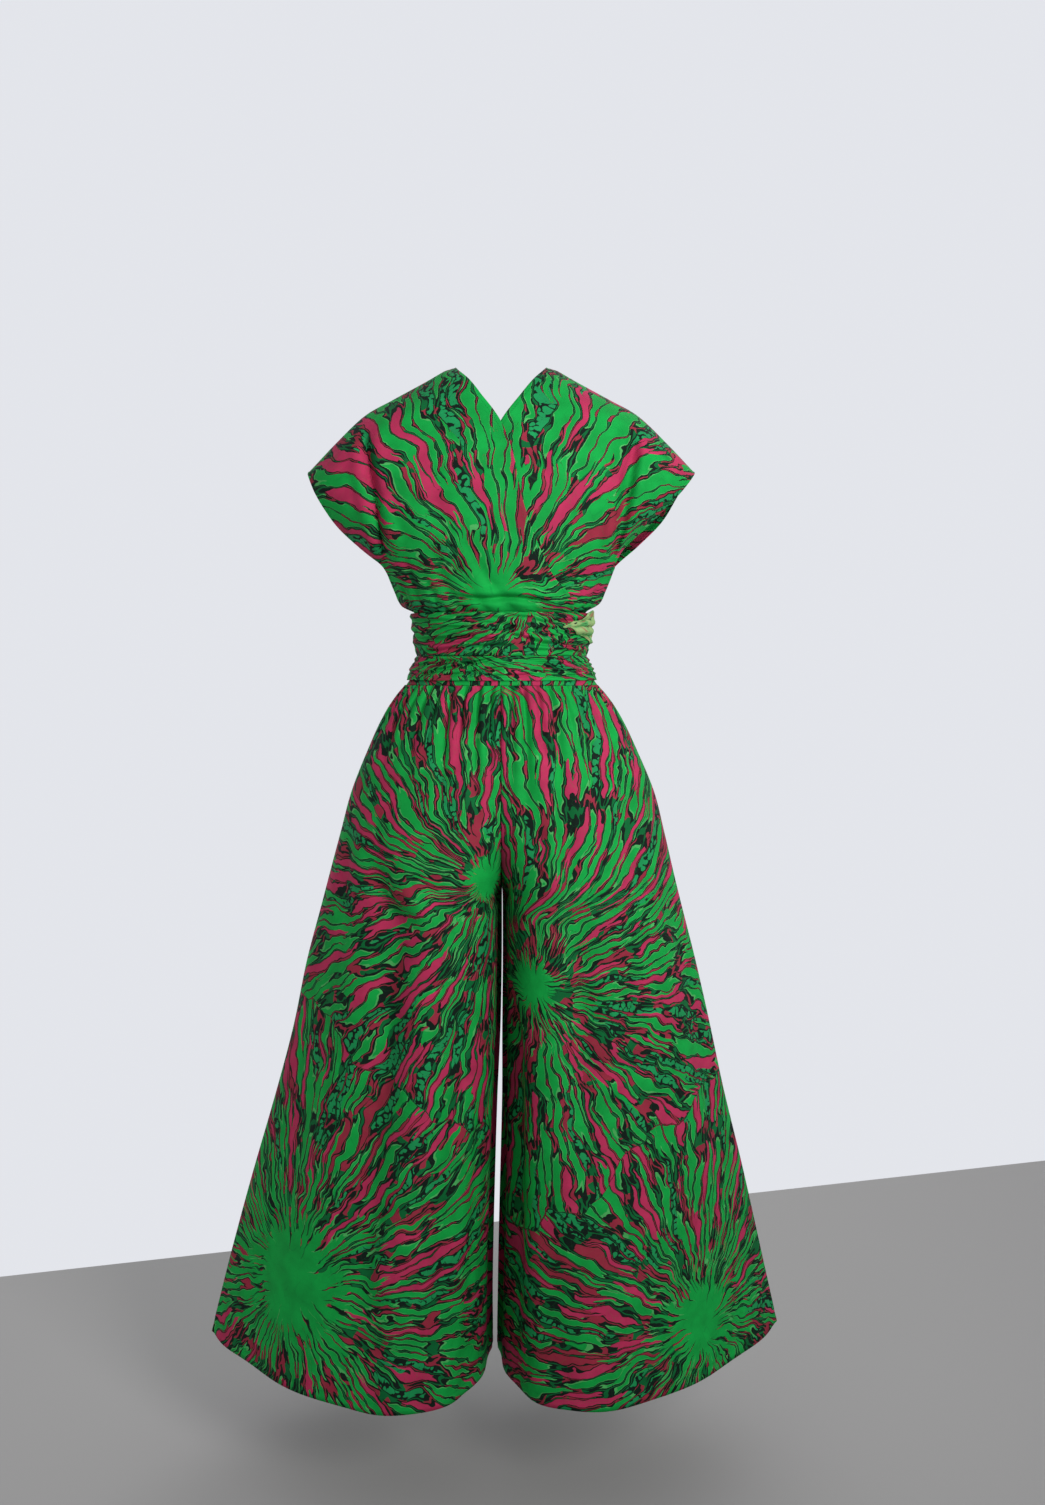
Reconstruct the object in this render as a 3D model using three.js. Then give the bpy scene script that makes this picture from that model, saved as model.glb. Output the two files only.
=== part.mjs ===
// Infinity jumpsuit: two long straps that make a crossed bodice with cap sleeves and a wrapped sash,
// over very wide gathered palazzo trousers. It is modelled filled out, as worn, and hollow.
//
// Millimetres, +Z up. The origin is midway between the shoulders at the height of the neck edge.
// The back of the garment faces -Y, and the wearer's left is -X.
import * as THREE from 'three';

// ---------------------------------------------------------------- driving dimensions
const CLOTH = 1.6;              // wall thickness of one layer
const SEAM = 0.3;               // gap left between two pieces at a seam
const LAYER = 4.4;              // how far the left strap lies above the right one
const LAYER_AT_WAIST = 3.2;     // the same where the sash binds them
const BAND_WALL = 3.2;          // the waistband is folded double, with the seam allowances inside
const WAIST_SEAM = -424;        // height of the seam between waistband and trousers, at the sides
const HEM = -1390;              // height of the hem at the inseams
const WAIST_RISE = 12.5;        // how much higher the waist sits at the centre back than at the sides
const HEM_LIFT = { left: 20, right: 36 };  // how much higher the hem's corner is at the outseam
const LEAN = -12;               // sideways shift of the legs at the hem
const LOW_FROM = 760;           // how far down the lean and the hem's lift begin
const GATHERS_PER_PANEL = 10;
const GATHER_DEPTH = 3.4;
const GATHER_LENGTH = 150;      // how far down the gathers have faded out

const GREEN = 0x14a346;
const PINK = 0xc23a62;
const DEEP_GREEN = 0x0b5a2c;

// The bodice as worn: half width and depth of the figure and sleeves at each height.
const BODICE = [
  { z: 0,    reach: 275, back: 62,  front: 58 },
  { z: -75,  reach: 275, back: 92,  front: 84 },
  { z: -146, reach: 268, back: 111, front: 112 },
  { z: -205, reach: 228, back: 114, front: 127 },
  { z: -250, reach: 178, back: 111, front: 124 },
  { z: -277, reach: 153, back: 108, front: 117 },
  { z: -296, reach: 142, back: 106, front: 111 },
  { z: -315, reach: 131, back: 104, front: 106 },
  { z: -324, reach: 119, back: 97,  front: 97 },
  { z: -329, reach: 110.2, back: 88.6,  front: 86.8 },
  { z: -345, reach: 109,  back: 87.6, front: 85.8 },
  { z: -388, reach: 106.2, back: 85.2, front: 84.2 },
];

// The strap's two edges, from the shoulder (down 0) to the waistband (down 1).
// Inner is the neckline edge, which crosses to the other side. Outer is the sleeve's edge.
const STRAP_BACK = [
  { down: 0,    innerX: 59,  innerZ: 0,    outerX: 256, outerZ: -141 },
  { down: 0.12, innerX: 29,  innerZ: -37,  outerX: 236, outerZ: -171 },
  { down: 0.25, innerX: 0,   innerZ: -75,  outerX: 212, outerZ: -207 },
  { down: 0.36, innerX: -16, innerZ: -116, outerX: 182, outerZ: -237 },
  { down: 0.48, innerX: -27, innerZ: -168, outerX: 157, outerZ: -258 },
  { down: 0.6,  innerX: -46, innerZ: -228, outerX: 148, outerZ: -270 },
  { down: 0.7,  innerX: -66, innerZ: -278, outerX: 143, outerZ: -283 },
  { down: 0.78, innerX: -82, innerZ: -298, outerX: 137, outerZ: -299 },
  { down: 0.85, innerX: -92, innerZ: -315, outerX: 129.5, outerZ: -315 },
  { down: 0.9,  innerX: -94, innerZ: -329, outerX: 110.2, outerZ: -329 },
  { down: 1,    innerX: -90, innerZ: -387.6, outerX: 105.9, outerZ: -387.6 },
];
const STRAP_FRONT = [
  { down: 0,    innerX: 59,  innerZ: 0,    outerX: 256, outerZ: -141 },
  { down: 0.12, innerX: 54,  innerZ: -36,  outerX: 238, outerZ: -172 },
  { down: 0.25, innerX: 46,  innerZ: -80,  outerX: 216, outerZ: -207 },
  { down: 0.36, innerX: 35,  innerZ: -127, outerX: 185, outerZ: -237 },
  { down: 0.48, innerX: 21,  innerZ: -180, outerX: 159, outerZ: -259 },
  { down: 0.6,  innerX: 4,   innerZ: -231, outerX: 148, outerZ: -271 },
  { down: 0.7,  innerX: -12, innerZ: -278, outerX: 143, outerZ: -283 },
  { down: 0.78, innerX: -20, innerZ: -298, outerX: 137, outerZ: -299 },
  { down: 0.85, innerX: -26, innerZ: -315, outerX: 129.5, outerZ: -315 },
  { down: 0.9,  innerX: -30, innerZ: -329, outerX: 110.2, outerZ: -329 },
  { down: 1,    innerX: -32, innerZ: -387.6, outerX: 105.9, outerZ: -387.6 },
];
const STRAP_DOWNS = [0, 0.008, 0.03, 0.07, 0.12, 0.18, 0.25, 0.36, 0.48, 0.6, 0.7, 0.78, 0.85, 0.9, 0.94, 1];

// The shoulder line that the straps fold over, seen from behind.
const SHOULDER = [
  { x: 59,  z: 0 },
  { x: 97,  z: -22 },
  { x: 144, z: -47 },
  { x: 180, z: -67 },
  { x: 218, z: -102 },
  { x: 256, z: -141 },
];
const SHOULDER_ROLL = 46;       // radius of the soft fold over the shoulder

// The trousers at each height: outseam, inseam, and how far each leg stands out behind and in front.
// Parted goes from one hip oval (0) to two legs (1), point is how sharp the outseam's edge is, and
// skew is how far towards the inseam each leg stands out most.
const LEGS = [
  { z: -424,  left: 129, right: 128, inseam: 0.2, back: 102, front: 97,  parted: 0,    point: 1,    skew: 0 },
  { z: -456,  left: 152, right: 152, inseam: 0.2, back: 116, front: 107, parted: 0.02, point: 1,    skew: 0.02 },
  { z: -508,  left: 179, right: 180, inseam: 0.2, back: 130, front: 118, parted: 0.1,  point: 1,    skew: 0.06 },
  { z: -568,  left: 205, right: 207, inseam: 0.2, back: 140, front: 127, parted: 0.24, point: 1.02, skew: 0.1 },
  { z: -628,  left: 222, right: 223, inseam: 0.2, back: 145, front: 133, parted: 0.42, point: 1.05, skew: 0.14 },
  { z: -678,  left: 236, right: 235, inseam: 0.3, back: 146, front: 136, parted: 0.65, point: 1.1,  skew: 0.16 },
  { z: -722,  left: 248, right: 246, inseam: 0.4, back: 146, front: 138, parted: 1,    point: 1.15, skew: 0.17 },
  { z: -810,  left: 272, right: 269, inseam: 0.6, back: 148, front: 141, parted: 1,    point: 1.25, skew: 0.17 },
  { z: -910,  left: 292, right: 293, inseam: 1.2, back: 153, front: 147, parted: 1,    point: 1.4,  skew: 0.17 },
  { z: -1010, left: 316, right: 316, inseam: 3.2, back: 161, front: 154, parted: 1,    point: 1.5,  skew: 0.17 },
  { z: -1150, left: 352, right: 352, inseam: 3.6, back: 175, front: 167, parted: 1,    point: 1.6,  skew: 0.17 },
  { z: -1390, left: 411, right: 409, inseam: 3.6, back: 200, front: 190, parted: 1,    point: 1.8,  skew: 0.17 },
];

// Long soft folds in each trouser panel, across from the outseam (0) to the inner edge (1).
const LONG_FOLDS = [
  { across: 0.22, width: 0.07, depth: 7, from: -560, to: -1392 },
  { across: 0.43, width: 0.06, depth: 9, from: -620, to: -1250 },
  { across: 0.63, width: 0.06, depth: 6, from: -760, to: -1392 },
  { across: 0.84, width: 0.05, depth: 6, from: -640, to: -1100 },
];

// Rows of points down a trouser panel. The gathers need many columns and the legs few.
const PANEL_ROWS = [
  { z: -424, columns: 40 },
  { z: -432, columns: 40 },
  { z: -446, columns: 40 },
  { z: -468, columns: 40 },
  { z: -500, columns: 40 },
  { z: -540, columns: 40 },
  { z: -578, columns: 14 },
  { z: -614, columns: 14 },
  { z: -650, columns: 14 },
  { z: -684, columns: 14 },
  { z: -722, columns: 14 },
  { z: -776, columns: 14 },
  { z: -845, columns: 14 },
  { z: -935, columns: 14 },
  { z: -1035, columns: 14 },
  { z: -1145, columns: 14 },
  { z: -1265, columns: 14 },
  { z: -1390, columns: 14 },
];

// Creases of the sash on the back, each from its start to its end, by angle from the centre back.
const UPPER_CREASES = [
  { fromAngle: -95, fromZ: -341, toAngle: 10, toZ: -338, depth: 2.0, width: 4 },
  { fromAngle: -90, fromZ: -361, toAngle: 12, toZ: -342, depth: 2.2, width: 4 },
  { fromAngle: 8,   fromZ: -340, toAngle: 88, toZ: -334, depth: 2.0, width: 4 },
  { fromAngle: 6,   fromZ: -344, toAngle: 92, toZ: -359, depth: 2.2, width: 4 },
  { fromAngle: 95,  fromZ: -349, toAngle: 268, toZ: -354, depth: 1.6, width: 5 },
];
const LOWER_CREASES = [
  { fromAngle: -70, fromZ: -412, toAngle: 0,  toZ: -393, depth: 2.0, width: 4 },
  { fromAngle: 2,   fromZ: -395, toAngle: 95, toZ: -396, depth: 1.8, width: 3 },
  { fromAngle: 8,   fromZ: -405, toAngle: 98, toZ: -406, depth: 1.8, width: 3 },
  { fromAngle: 100, fromZ: -400, toAngle: 280, toZ: -402, depth: 1.8, width: 4 },
];

// Outline of each band at the waist: half width and depth at each height.
const UPPER_WRAP = [
  { z: -328, half: 120,   back: 97,  front: 96 },
  { z: -333, half: 121,   back: 98.5,  front: 97.5 },
  { z: -345, half: 119.5, back: 98,  front: 97 },
  { z: -356, half: 118.5, back: 97,  front: 96 },
  { z: -367, half: 117.5, back: 96,  front: 95 },
  { z: -378, half: 115.5, back: 94.5, front: 93.5 },
  { z: -385, half: 113,   back: 92,  front: 91 },
];
const LOWER_WRAP = [
  { z: -385.3, half: 113, back: 92,  front: 91 },
  { z: -391, half: 117, back: 95.5,  front: 94.5 },
  { z: -400, half: 121.5, back: 99, front: 98 },
  { z: -409, half: 125, back: 101.5,  front: 100 },
  { z: -417.5, half: 127, back: 102, front: 100.5 },
];
const WAISTBAND = [
  { z: -388, half: 109,   back: 88,  front: 87 },
  { z: -400, half: 115,   back: 93.5, front: 92.5 },
  { z: -416, half: 123.8, back: 99, front: 97.5 },
  { z: -424, half: 129,   back: 102, front: 97.5 },
];

// ---------------------------------------------------------------- small helpers
const { lerp, clamp, smoothstep, degToRad } = THREE.MathUtils;

// Reads a named column of a table at a key, on a smooth curve through its rows.
function read(table, key, at, column) {
  const rows = table[0][key] < table[table.length - 1][key] ? table : [...table].reverse();
  const last = rows.length - 1;
  const place = clamp(at, rows[0][key], rows[last][key]);
  let i = 0;
  while (i < last - 1 && place > rows[i + 1][key]) i += 1;
  const before = rows[Math.max(i - 1, 0)];
  const after = rows[Math.min(i + 2, last)];
  const [from, to] = [rows[i], rows[i + 1]];
  const span = to[key] - from[key];
  const t = (place - from[key]) / span;
  const slopeFrom = (to[column] - before[column]) / (to[key] - before[key]) * span;
  const slopeTo = (after[column] - from[column]) / (after[key] - from[key]) * span;
  const t2 = t * t;
  const t3 = t2 * t;
  return (2 * t3 - 3 * t2 + 1) * from[column] + (t3 - 2 * t2 + t) * slopeFrom
    + (3 * t2 - 2 * t3) * to[column] + (t3 - t2) * slopeTo;
}

// Unit normal of a surface at(u, v): the way that cross(du, dv) points.
function normalAt(at, u, v, stepU, stepV) {
  const alongU = at(u + stepU, v).sub(at(u - stepU, v));
  const alongV = at(u, v + stepV).sub(at(u, v - stepV));
  return alongU.cross(alongV).normalize();
}

// Triangles between two rows of vertex numbers, whose shares across may differ in count.
function stitch(faces, above, below) {
  let [i, j] = [0, 0];
  while (i < above.length - 1 || j < below.length - 1) {
    const nextAbove = i < above.length - 1 ? above[i + 1].share : Infinity;
    const nextBelow = j < below.length - 1 ? below[j + 1].share : Infinity;
    if (nextAbove <= nextBelow) {
      faces.push([above[i].id, below[j].id, above[i + 1].id]);
      i += 1;
    } else {
      faces.push([above[i].id, below[j].id, below[j + 1].id]);
      j += 1;
    }
  }
}

// A closed wall from rows of { share, outer, inner } points. A round wall joins its last column
// to its first one.
function wallGeometry(rows, round = false) {
  for (const row of rows) tiltWaist(row.flatMap((p) => [p.outer, p.inner]));
  const points = [];
  const outer = [];
  const inner = [];
  for (const row of rows) {
    const first = points.length;
    outer.push(row.map((p, k) => ({ share: p.share, id: first + 2 * k })));
    inner.push(row.map((p, k) => ({ share: p.share, id: first + 2 * k + 1 })));
    for (const p of row) points.push(p.outer, p.inner);
    if (round) {
      outer.at(-1).push({ share: 1, id: first });
      inner.at(-1).push({ share: 1, id: first + 1 });
    }
  }
  const faces = [];
  const last = rows.length - 1;
  for (let r = 0; r < last; r += 1) {
    stitch(faces, outer[r], outer[r + 1]);
    stitch(faces, inner[r + 1], inner[r]);
  }
  stitch(faces, inner[0], outer[0]);
  stitch(faces, outer[last], inner[last]);
  if (!round) {
    for (let r = 0; r < last; r += 1) {
      const [a, b, c, d] = [outer[r][0].id, outer[r + 1][0].id, inner[r + 1][0].id, inner[r][0].id];
      faces.push([a, d, c], [a, c, b]);
      const [e, f, g, h] = [outer[r], outer[r + 1], inner[r + 1], inner[r]].map((ids) => ids.at(-1).id);
      faces.push([e, f, g], [e, g, h]);
    }
  }
  return solidGeometry(points, faces);
}

// A BufferGeometry of the faces, turned so that they all point out.
function solidGeometry(points, faces) {
  let volume = 0;
  for (const [a, b, c] of faces) {
    volume += points[a].dot(points[b].clone().cross(points[c]));
  }
  const index = faces.flatMap(([a, b, c]) => (volume > 0 ? [a, b, c] : [a, c, b]));
  const geometry = new THREE.BufferGeometry().setFromPoints(points);
  geometry.setIndex(index);
  geometry.computeVertexNormals();
  return geometry;
}

const jumpsuit = new THREE.Group();
jumpsuit.name = 'infinity_jumpsuit';

// The waistline tilts: it is raised behind and lowered in front, fading out above and below.
function tiltWaist(points) {
  for (const p of points) {
    const near = smoothstep(p.z, -620, -440) * (1 - smoothstep(p.z, -320, -180));
    p.z -= WAIST_RISE * near * p.y / 100;
  }
}

function addPiece(name, geometry, color) {
  const material = new THREE.MeshStandardMaterial({ color, roughness: 0.75, metalness: 0 });
  const mesh = new THREE.Mesh(geometry, material);
  mesh.name = name;
  jumpsuit.add(mesh);
}

// ---------------------------------------------------------------- straps
const STRAP_COLUMNS = 13;
const CREASE = { depth: 5, width: 20, topX: 174, topZ: -80, endX: 150, endZ: -245 };

// Height of the shoulder line at a distance from the centre.
function shoulderHeight(x) {
  return read(SHOULDER, 'x', Math.abs(x), 'z');
}

// How far the worn cloth stands from the middle plane at (x, z), behind or in front.
function bodiceDepth(x, z, facing) {
  const reach = read(BODICE, 'z', z, 'reach');
  const deepest = read(BODICE, 'z', z, facing);
  const across = Math.min(Math.abs(x) / reach, 0.9995);
  const under = clamp((shoulderHeight(x) - z) / SHOULDER_ROLL, 0, 1);
  const roll = Math.sqrt(1 - (1 - under) ** 2);
  const creaseX = lerp(CREASE.topX, CREASE.endX, (z - CREASE.topZ) / (CREASE.endZ - CREASE.topZ));
  const inCrease = Math.exp(-(((Math.abs(x) - creaseX) / CREASE.width) ** 2))
    * smoothstep(under, 0.5, 1) * smoothstep(z, CREASE.endZ - 30, CREASE.endZ + 20);
  return (deepest * Math.sqrt(1 - across ** 2) - CREASE.depth * inCrease) * roll;
}

// Outer surface of a strap. v goes from the back waist (-1) over the shoulder (0) to the front (1),
// and u from the neckline edge (0) to the sleeve edge (1). The strap's own side is +x.
function strapPoint(u, v) {
  const down = Math.abs(v);
  const table = v < 0 ? STRAP_BACK : STRAP_FRONT;
  const facing = v < 0 ? 'back' : 'front';
  const [innerX, innerZ, outerX, outerZ] = ['innerX', 'innerZ', 'outerX', 'outerZ']
    .map((column) => read(table, 'down', down, column));
  const share = Math.sin(u * 1.35) / Math.sin(1.35);
  const x = lerp(innerX, outerX, share);
  const straight = lerp(innerZ, outerZ, share);
  const [neck, tip] = [SHOULDER[0], SHOULDER.at(-1)];
  const crown = shoulderHeight(lerp(neck.x, tip.x, share)) - lerp(neck.z, tip.z, share);
  const z = straight + crown * (1 - smoothstep(down, 0, 0.45));
  const depth = bodiceDepth(x, z, facing);
  return new THREE.Vector3(x, v < 0 ? -depth : depth, z);
}

// How far a layer is lifted: not at the shoulder, fully on the back, and less under the sash.
function lift(down) {
  return LAYER * smoothstep(down, 0, 0.15) - (LAYER - LAYER_AT_WAIST) * smoothstep(down, 0.85, 0.9);
}

function strap(name, side, layers, color) {
  const ways = [...STRAP_DOWNS.slice(1).reverse().map((down) => -down), ...STRAP_DOWNS];
  const rows = ways.map((v) => {
    const row = [];
    for (let c = 0; c <= STRAP_COLUMNS; c += 1) {
      const u = c / STRAP_COLUMNS;
      const normal = normalAt(strapPoint, clamp(u, 0.02, 0.98), clamp(v, -0.99, 0.99), 0.02, 0.006);
      const outer = strapPoint(u, v).addScaledVector(normal, layers * lift(Math.abs(v)));
      const inner = outer.clone().addScaledVector(normal, -CLOTH);
      for (const p of [outer, inner]) p.x *= side;
      row.push({ share: u, outer, inner });
    }
    return row;
  });
  addPiece(name, wallGeometry(rows), color);
}

// ---------------------------------------------------------------- bands round the waist
const BAND_COLUMNS = 56;

// How deep the creases press a sash at an angle and height.
function creaseDepth(creases, degrees, z) {
  let depth = 0;
  for (const crease of creases) {
    for (const turn of [0, 360]) {
      const along = (degrees + turn - crease.fromAngle) / (crease.toAngle - crease.fromAngle);
      const line = lerp(crease.fromZ, crease.toZ, clamp(along, 0, 1));
      const inside = smoothstep(along, 0, 0.15) * (1 - smoothstep(along, 0.85, 1));
      depth += crease.depth * inside * Math.exp(-(((z - line) / crease.width) ** 2));
    }
  }
  return depth;
}

function band(name, outline, creases, color, wall = CLOTH) {
  const pointAt = (u, z, inset) => {
    const angle = u * 2 * Math.PI - Math.PI;
    const press = creaseDepth(creases, angle * 180 / Math.PI, z) + inset;
    const half = read(outline, 'z', z, 'half') - press;
    const deep = read(outline, 'z', z, Math.cos(angle) > 0 ? 'back' : 'front') - press;
    return new THREE.Vector3(half * Math.sin(angle), -deep * Math.cos(angle), z);
  };
  const rows = outline.map(({ z }) => {
    const row = [];
    for (let c = 0; c < BAND_COLUMNS; c += 1) {
      const u = c / BAND_COLUMNS;
      row.push({ share: u, outer: pointAt(u, z, 0), inner: pointAt(u, z, wall) });
    }
    return row;
  });
  addPiece(name, wallGeometry(rows, true), color);
}

// ---------------------------------------------------------------- trouser panels
// Share of the way from outseam to inseam at an angle round a leg.
function legShare(angle, skew) {
  return (1 - Math.cos(angle)) / 2 + skew * Math.sin(angle) ** 2;
}

// Outer surface of the quarter with x and y both positive. u goes from the outseam (0) to the centre
// seam and inseam (1), which lie at the front or back of the hips and between the legs.
function panelPoint(u, z, sideName, facing) {
  const [outseam, inseam, deep, parted, point, skew] = [sideName, 'inseam', facing, 'parted', 'point', 'skew']
    .map((column) => read(LEGS, 'z', z, column));
  const lastAngle = clamp(Math.PI / 2 * (1 + parted), Math.PI / 2, Math.PI);
  const angle = u * lastAngle;
  const across = legShare(angle, skew) / legShare(lastAngle, skew);
  const bulge = Math.max(Math.sin(angle), 0) ** lerp((1 + point) / 2, point, Math.cos(angle / 2) ** 2);
  return new THREE.Vector3(lerp(outseam, inseam, across), deep * bulge, z);
}

// How far the gathers and the long folds move the cloth out at (u, z).
function panelRelief(u, z) {
  const below = WAIST_SEAM - z;
  const fade = 1 - smoothstep(below, GATHER_LENGTH * 0.25, GATHER_LENGTH);
  const start = 0.5 + 0.5 * smoothstep(below, 0, 14);
  const uneven = 0.8 + 0.2 * Math.sin(u * 23 + 1);
  const gather = -GATHER_DEPTH * fade * start * uneven * Math.cos(u * 2 * Math.PI * GATHERS_PER_PANEL);
  const edge = smoothstep(u, 0, 0.04) * (1 - smoothstep(u, 0.96, 1));
  let folds = 0;
  for (const fold of LONG_FOLDS) {
    const along = smoothstep(z, fold.to - 60, fold.to + 160) * (1 - smoothstep(z, fold.from - 120, fold.from));
    folds -= fold.depth * along * Math.exp(-(((u - fold.across) / fold.width) ** 2));
  }
  return gather * edge + folds * edge;
}

function panel(sideName, facing, color) {
  const side = sideName === 'left' ? -1 : 1;
  const face = facing === 'back' ? -1 : 1;
  const limit = SEAM / 2;
  const base = (u, z) => panelPoint(u, z, sideName, facing);
  const rows = PANEL_ROWS.map(({ z, columns }, r) => {
    const height = r === 0 ? z - SEAM : z;
    const row = [];
    for (let c = 0; c <= columns; c += 1) {
      const u = c / columns;
      const normal = normalAt(base, clamp(u, 0.01, 0.99), clamp(height, HEM + 1, WAIST_SEAM - 1), 0.01, 1);
      const outer = base(u, height).addScaledVector(normal, panelRelief(u, height));
      const inner = outer.clone().addScaledVector(normal, -CLOTH);
      const low = smoothstep(-height, LOW_FROM, -HEM);
      for (const p of [outer, inner]) {
        p.x = side * Math.max(p.x, limit) + LEAN * low;
        p.y = face * Math.max(p.y, limit);
        p.z = height + HEM_LIFT[sideName] * low * (1 - u) ** 1.5;
      }
      row.push({ share: u, outer, inner });
    }
    return row;
  });
  addPiece(`trouser_${sideName}_${facing}`, wallGeometry(rows), color);
}

// ---------------------------------------------------------------- the garment
strap('strap_left', -1, 1, GREEN);
strap('strap_right', 1, 0, PINK);
band('sash_upper', UPPER_WRAP, UPPER_CREASES, GREEN);
band('sash_lower', LOWER_WRAP, LOWER_CREASES, PINK);
band('waistband', WAISTBAND, [], DEEP_GREEN, BAND_WALL);
for (const sideName of ['left', 'right']) {
  for (const facing of ['back', 'front']) {
    panel(sideName, facing, (sideName === 'left') === (facing === 'back') ? GREEN : PINK);
  }
}

export default jumpsuit;
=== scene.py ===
"""Infinity jumpsuit in wax-print cotton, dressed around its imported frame."""
import math
from functools import lru_cache

import bmesh
import bpy
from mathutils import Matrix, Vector


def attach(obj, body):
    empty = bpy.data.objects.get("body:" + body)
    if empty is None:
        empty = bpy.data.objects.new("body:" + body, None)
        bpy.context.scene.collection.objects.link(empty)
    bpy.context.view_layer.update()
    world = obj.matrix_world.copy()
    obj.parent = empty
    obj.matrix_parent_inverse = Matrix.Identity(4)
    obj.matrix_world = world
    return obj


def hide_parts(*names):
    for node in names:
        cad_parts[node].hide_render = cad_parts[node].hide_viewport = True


bl_info = {
    "name": "Infinity Jumpsuit",
    "version": (1, 0, 0),
    "blender": (4, 5, 0),
    "location": "View3D > Sidebar > Jumpsuit",
    "description": "Builds a wrap jumpsuit with wide gathered legs in printed cotton",
    "category": "Add Mesh",
}

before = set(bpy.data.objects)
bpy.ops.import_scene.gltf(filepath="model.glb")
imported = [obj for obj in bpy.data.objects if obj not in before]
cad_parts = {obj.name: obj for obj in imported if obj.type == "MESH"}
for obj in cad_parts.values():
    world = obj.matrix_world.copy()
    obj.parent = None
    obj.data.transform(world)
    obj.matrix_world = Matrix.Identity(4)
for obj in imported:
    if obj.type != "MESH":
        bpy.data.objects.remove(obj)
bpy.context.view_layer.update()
BODY = "root"

# Sizes below are in millimetres, as a pattern cutter gives them, and become metres in the meshes.
MM = 0.001


def table(columns, rows):
    """Rows as dictionaries, from a line of column names."""
    names = columns.split()
    return [dict(zip(names, row)) for row in rows]


# ---------------------------------------------------------------- form of the garment
LAYER = 4.4                # how far the left strap lies above the right one
LAYER_AT_WAIST = 3.2       # the same where the sash binds them
SEAM = 0.3                 # gap between two pieces that are sewn together
WAIST_SEAM = -424          # height of the seam between the waistband and the trousers
HEM = -1390
WAIST_RISE = 12.5          # rise of the waistline behind, and its fall in front, for each 100 of depth
WAIST_TILT = {"below": (-620, -440), "above": (-320, -180)}    # heights over which it fades out
HEM_LIFT = {"left": 20, "right": 36}    # how far the outer end of each leg's hem is raised
HEM_LIFT_CURVE = 1.5       # 1 would let that lift fall evenly to the inseam, and more lets it fall sooner
LEAN = -12                 # how far the hems have swung towards the left
LOW_FROM = 760             # how far down the lift and the swing begin
SHOULDER_ROLL = 46         # how far below the shoulder line the cloth has turned over it
SIDE_LIMIT = 0.9995        # how near to the body's side its depth is still read

BODICE = table("z reach back front", [
    (0, 275, 62, 58),
    (-75, 275, 92, 84),
    (-146, 268, 111, 112),
    (-205, 228, 114, 127),
    (-250, 178, 111, 124),
    (-277, 153, 108, 117),
    (-296, 142, 106, 111),
    (-315, 131, 104, 106),
    (-324, 119, 97, 97),
    (-329, 110.2, 88.6, 86.8),
    (-345, 109, 87.6, 85.8),
    (-388, 106.2, 85.2, 84.2),
])

STRAP_BACK = table("down inner_x inner_z outer_x outer_z", [
    (0, 59, 0, 256, -141),
    (0.12, 29, -37, 236, -171),
    (0.25, 0, -75, 212, -207),
    (0.36, -16, -116, 182, -237),
    (0.48, -27, -168, 157, -258),
    (0.6, -46, -228, 148, -270),
    (0.7, -66, -278, 143, -283),
    (0.78, -82, -298, 137, -299),
    (0.85, -92, -315, 129.5, -315),
    (0.9, -94, -329, 110.2, -329),
    (1, -90, -387.6, 105.9, -387.6),
])
STRAP_FRONT = table("down inner_x inner_z outer_x outer_z", [
    (0, 59, 0, 256, -141),
    (0.12, 54, -36, 238, -172),
    (0.25, 46, -80, 216, -207),
    (0.36, 35, -127, 185, -237),
    (0.48, 21, -180, 159, -259),
    (0.6, 4, -231, 148, -271),
    (0.7, -12, -278, 143, -283),
    (0.78, -20, -298, 137, -299),
    (0.85, -26, -315, 129.5, -315),
    (0.9, -30, -329, 110.2, -329),
    (1, -32, -387.6, 105.9, -387.6),
])
SHOULDER = table("x z", [(59, 0), (97, -22), (144, -47), (180, -67), (218, -102), (256, -141)])

LEGS = table("z left right inseam back front parted point skew", [
    (-424, 129, 128, 0.2, 102, 97, 0, 1, 0),
    (-456, 152, 152, 0.2, 116, 107, 0.02, 1, 0.02),
    (-508, 179, 180, 0.2, 130, 118, 0.1, 1, 0.06),
    (-568, 205, 207, 0.2, 140, 127, 0.24, 1.02, 0.1),
    (-628, 222, 223, 0.2, 145, 133, 0.42, 1.05, 0.14),
    (-678, 236, 235, 0.3, 146, 136, 0.65, 1.1, 0.16),
    (-722, 248, 246, 0.4, 146, 138, 1, 1.15, 0.17),
    (-810, 272, 269, 0.6, 148, 141, 1, 1.25, 0.17),
    (-910, 292, 293, 1.2, 153, 147, 1, 1.4, 0.17),
    (-1010, 316, 316, 3.2, 161, 154, 1, 1.5, 0.17),
    (-1150, 352, 352, 3.6, 175, 167, 1, 1.6, 0.17),
    (-1390, 411, 409, 3.6, 200, 190, 1, 1.8, 0.17),
])

UPPER_WRAP = table("z half back front", [
    (-328, 120, 97, 96),
    (-333, 121, 98.5, 97.5),
    (-345, 119.5, 98, 97),
    (-356, 118.5, 97, 96),
    (-367, 117.5, 96, 95),
    (-378, 115.5, 94.5, 93.5),
    (-385, 113, 92, 91),
])
LOWER_WRAP = table("z half back front", [
    (-385.3, 113, 92, 91),
    (-391, 117, 95.5, 94.5),
    (-400, 121.5, 99, 98),
    (-409, 125, 101.5, 100),
    (-417.5, 127, 102, 100.5),
])
WAISTBAND = table("z half back front", [
    (-388, 109, 88, 87),
    (-400, 115, 93.5, 92.5),
    (-416, 123.8, 99, 97.5),
    (-424, 129, 102, 97.5),
])

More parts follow.
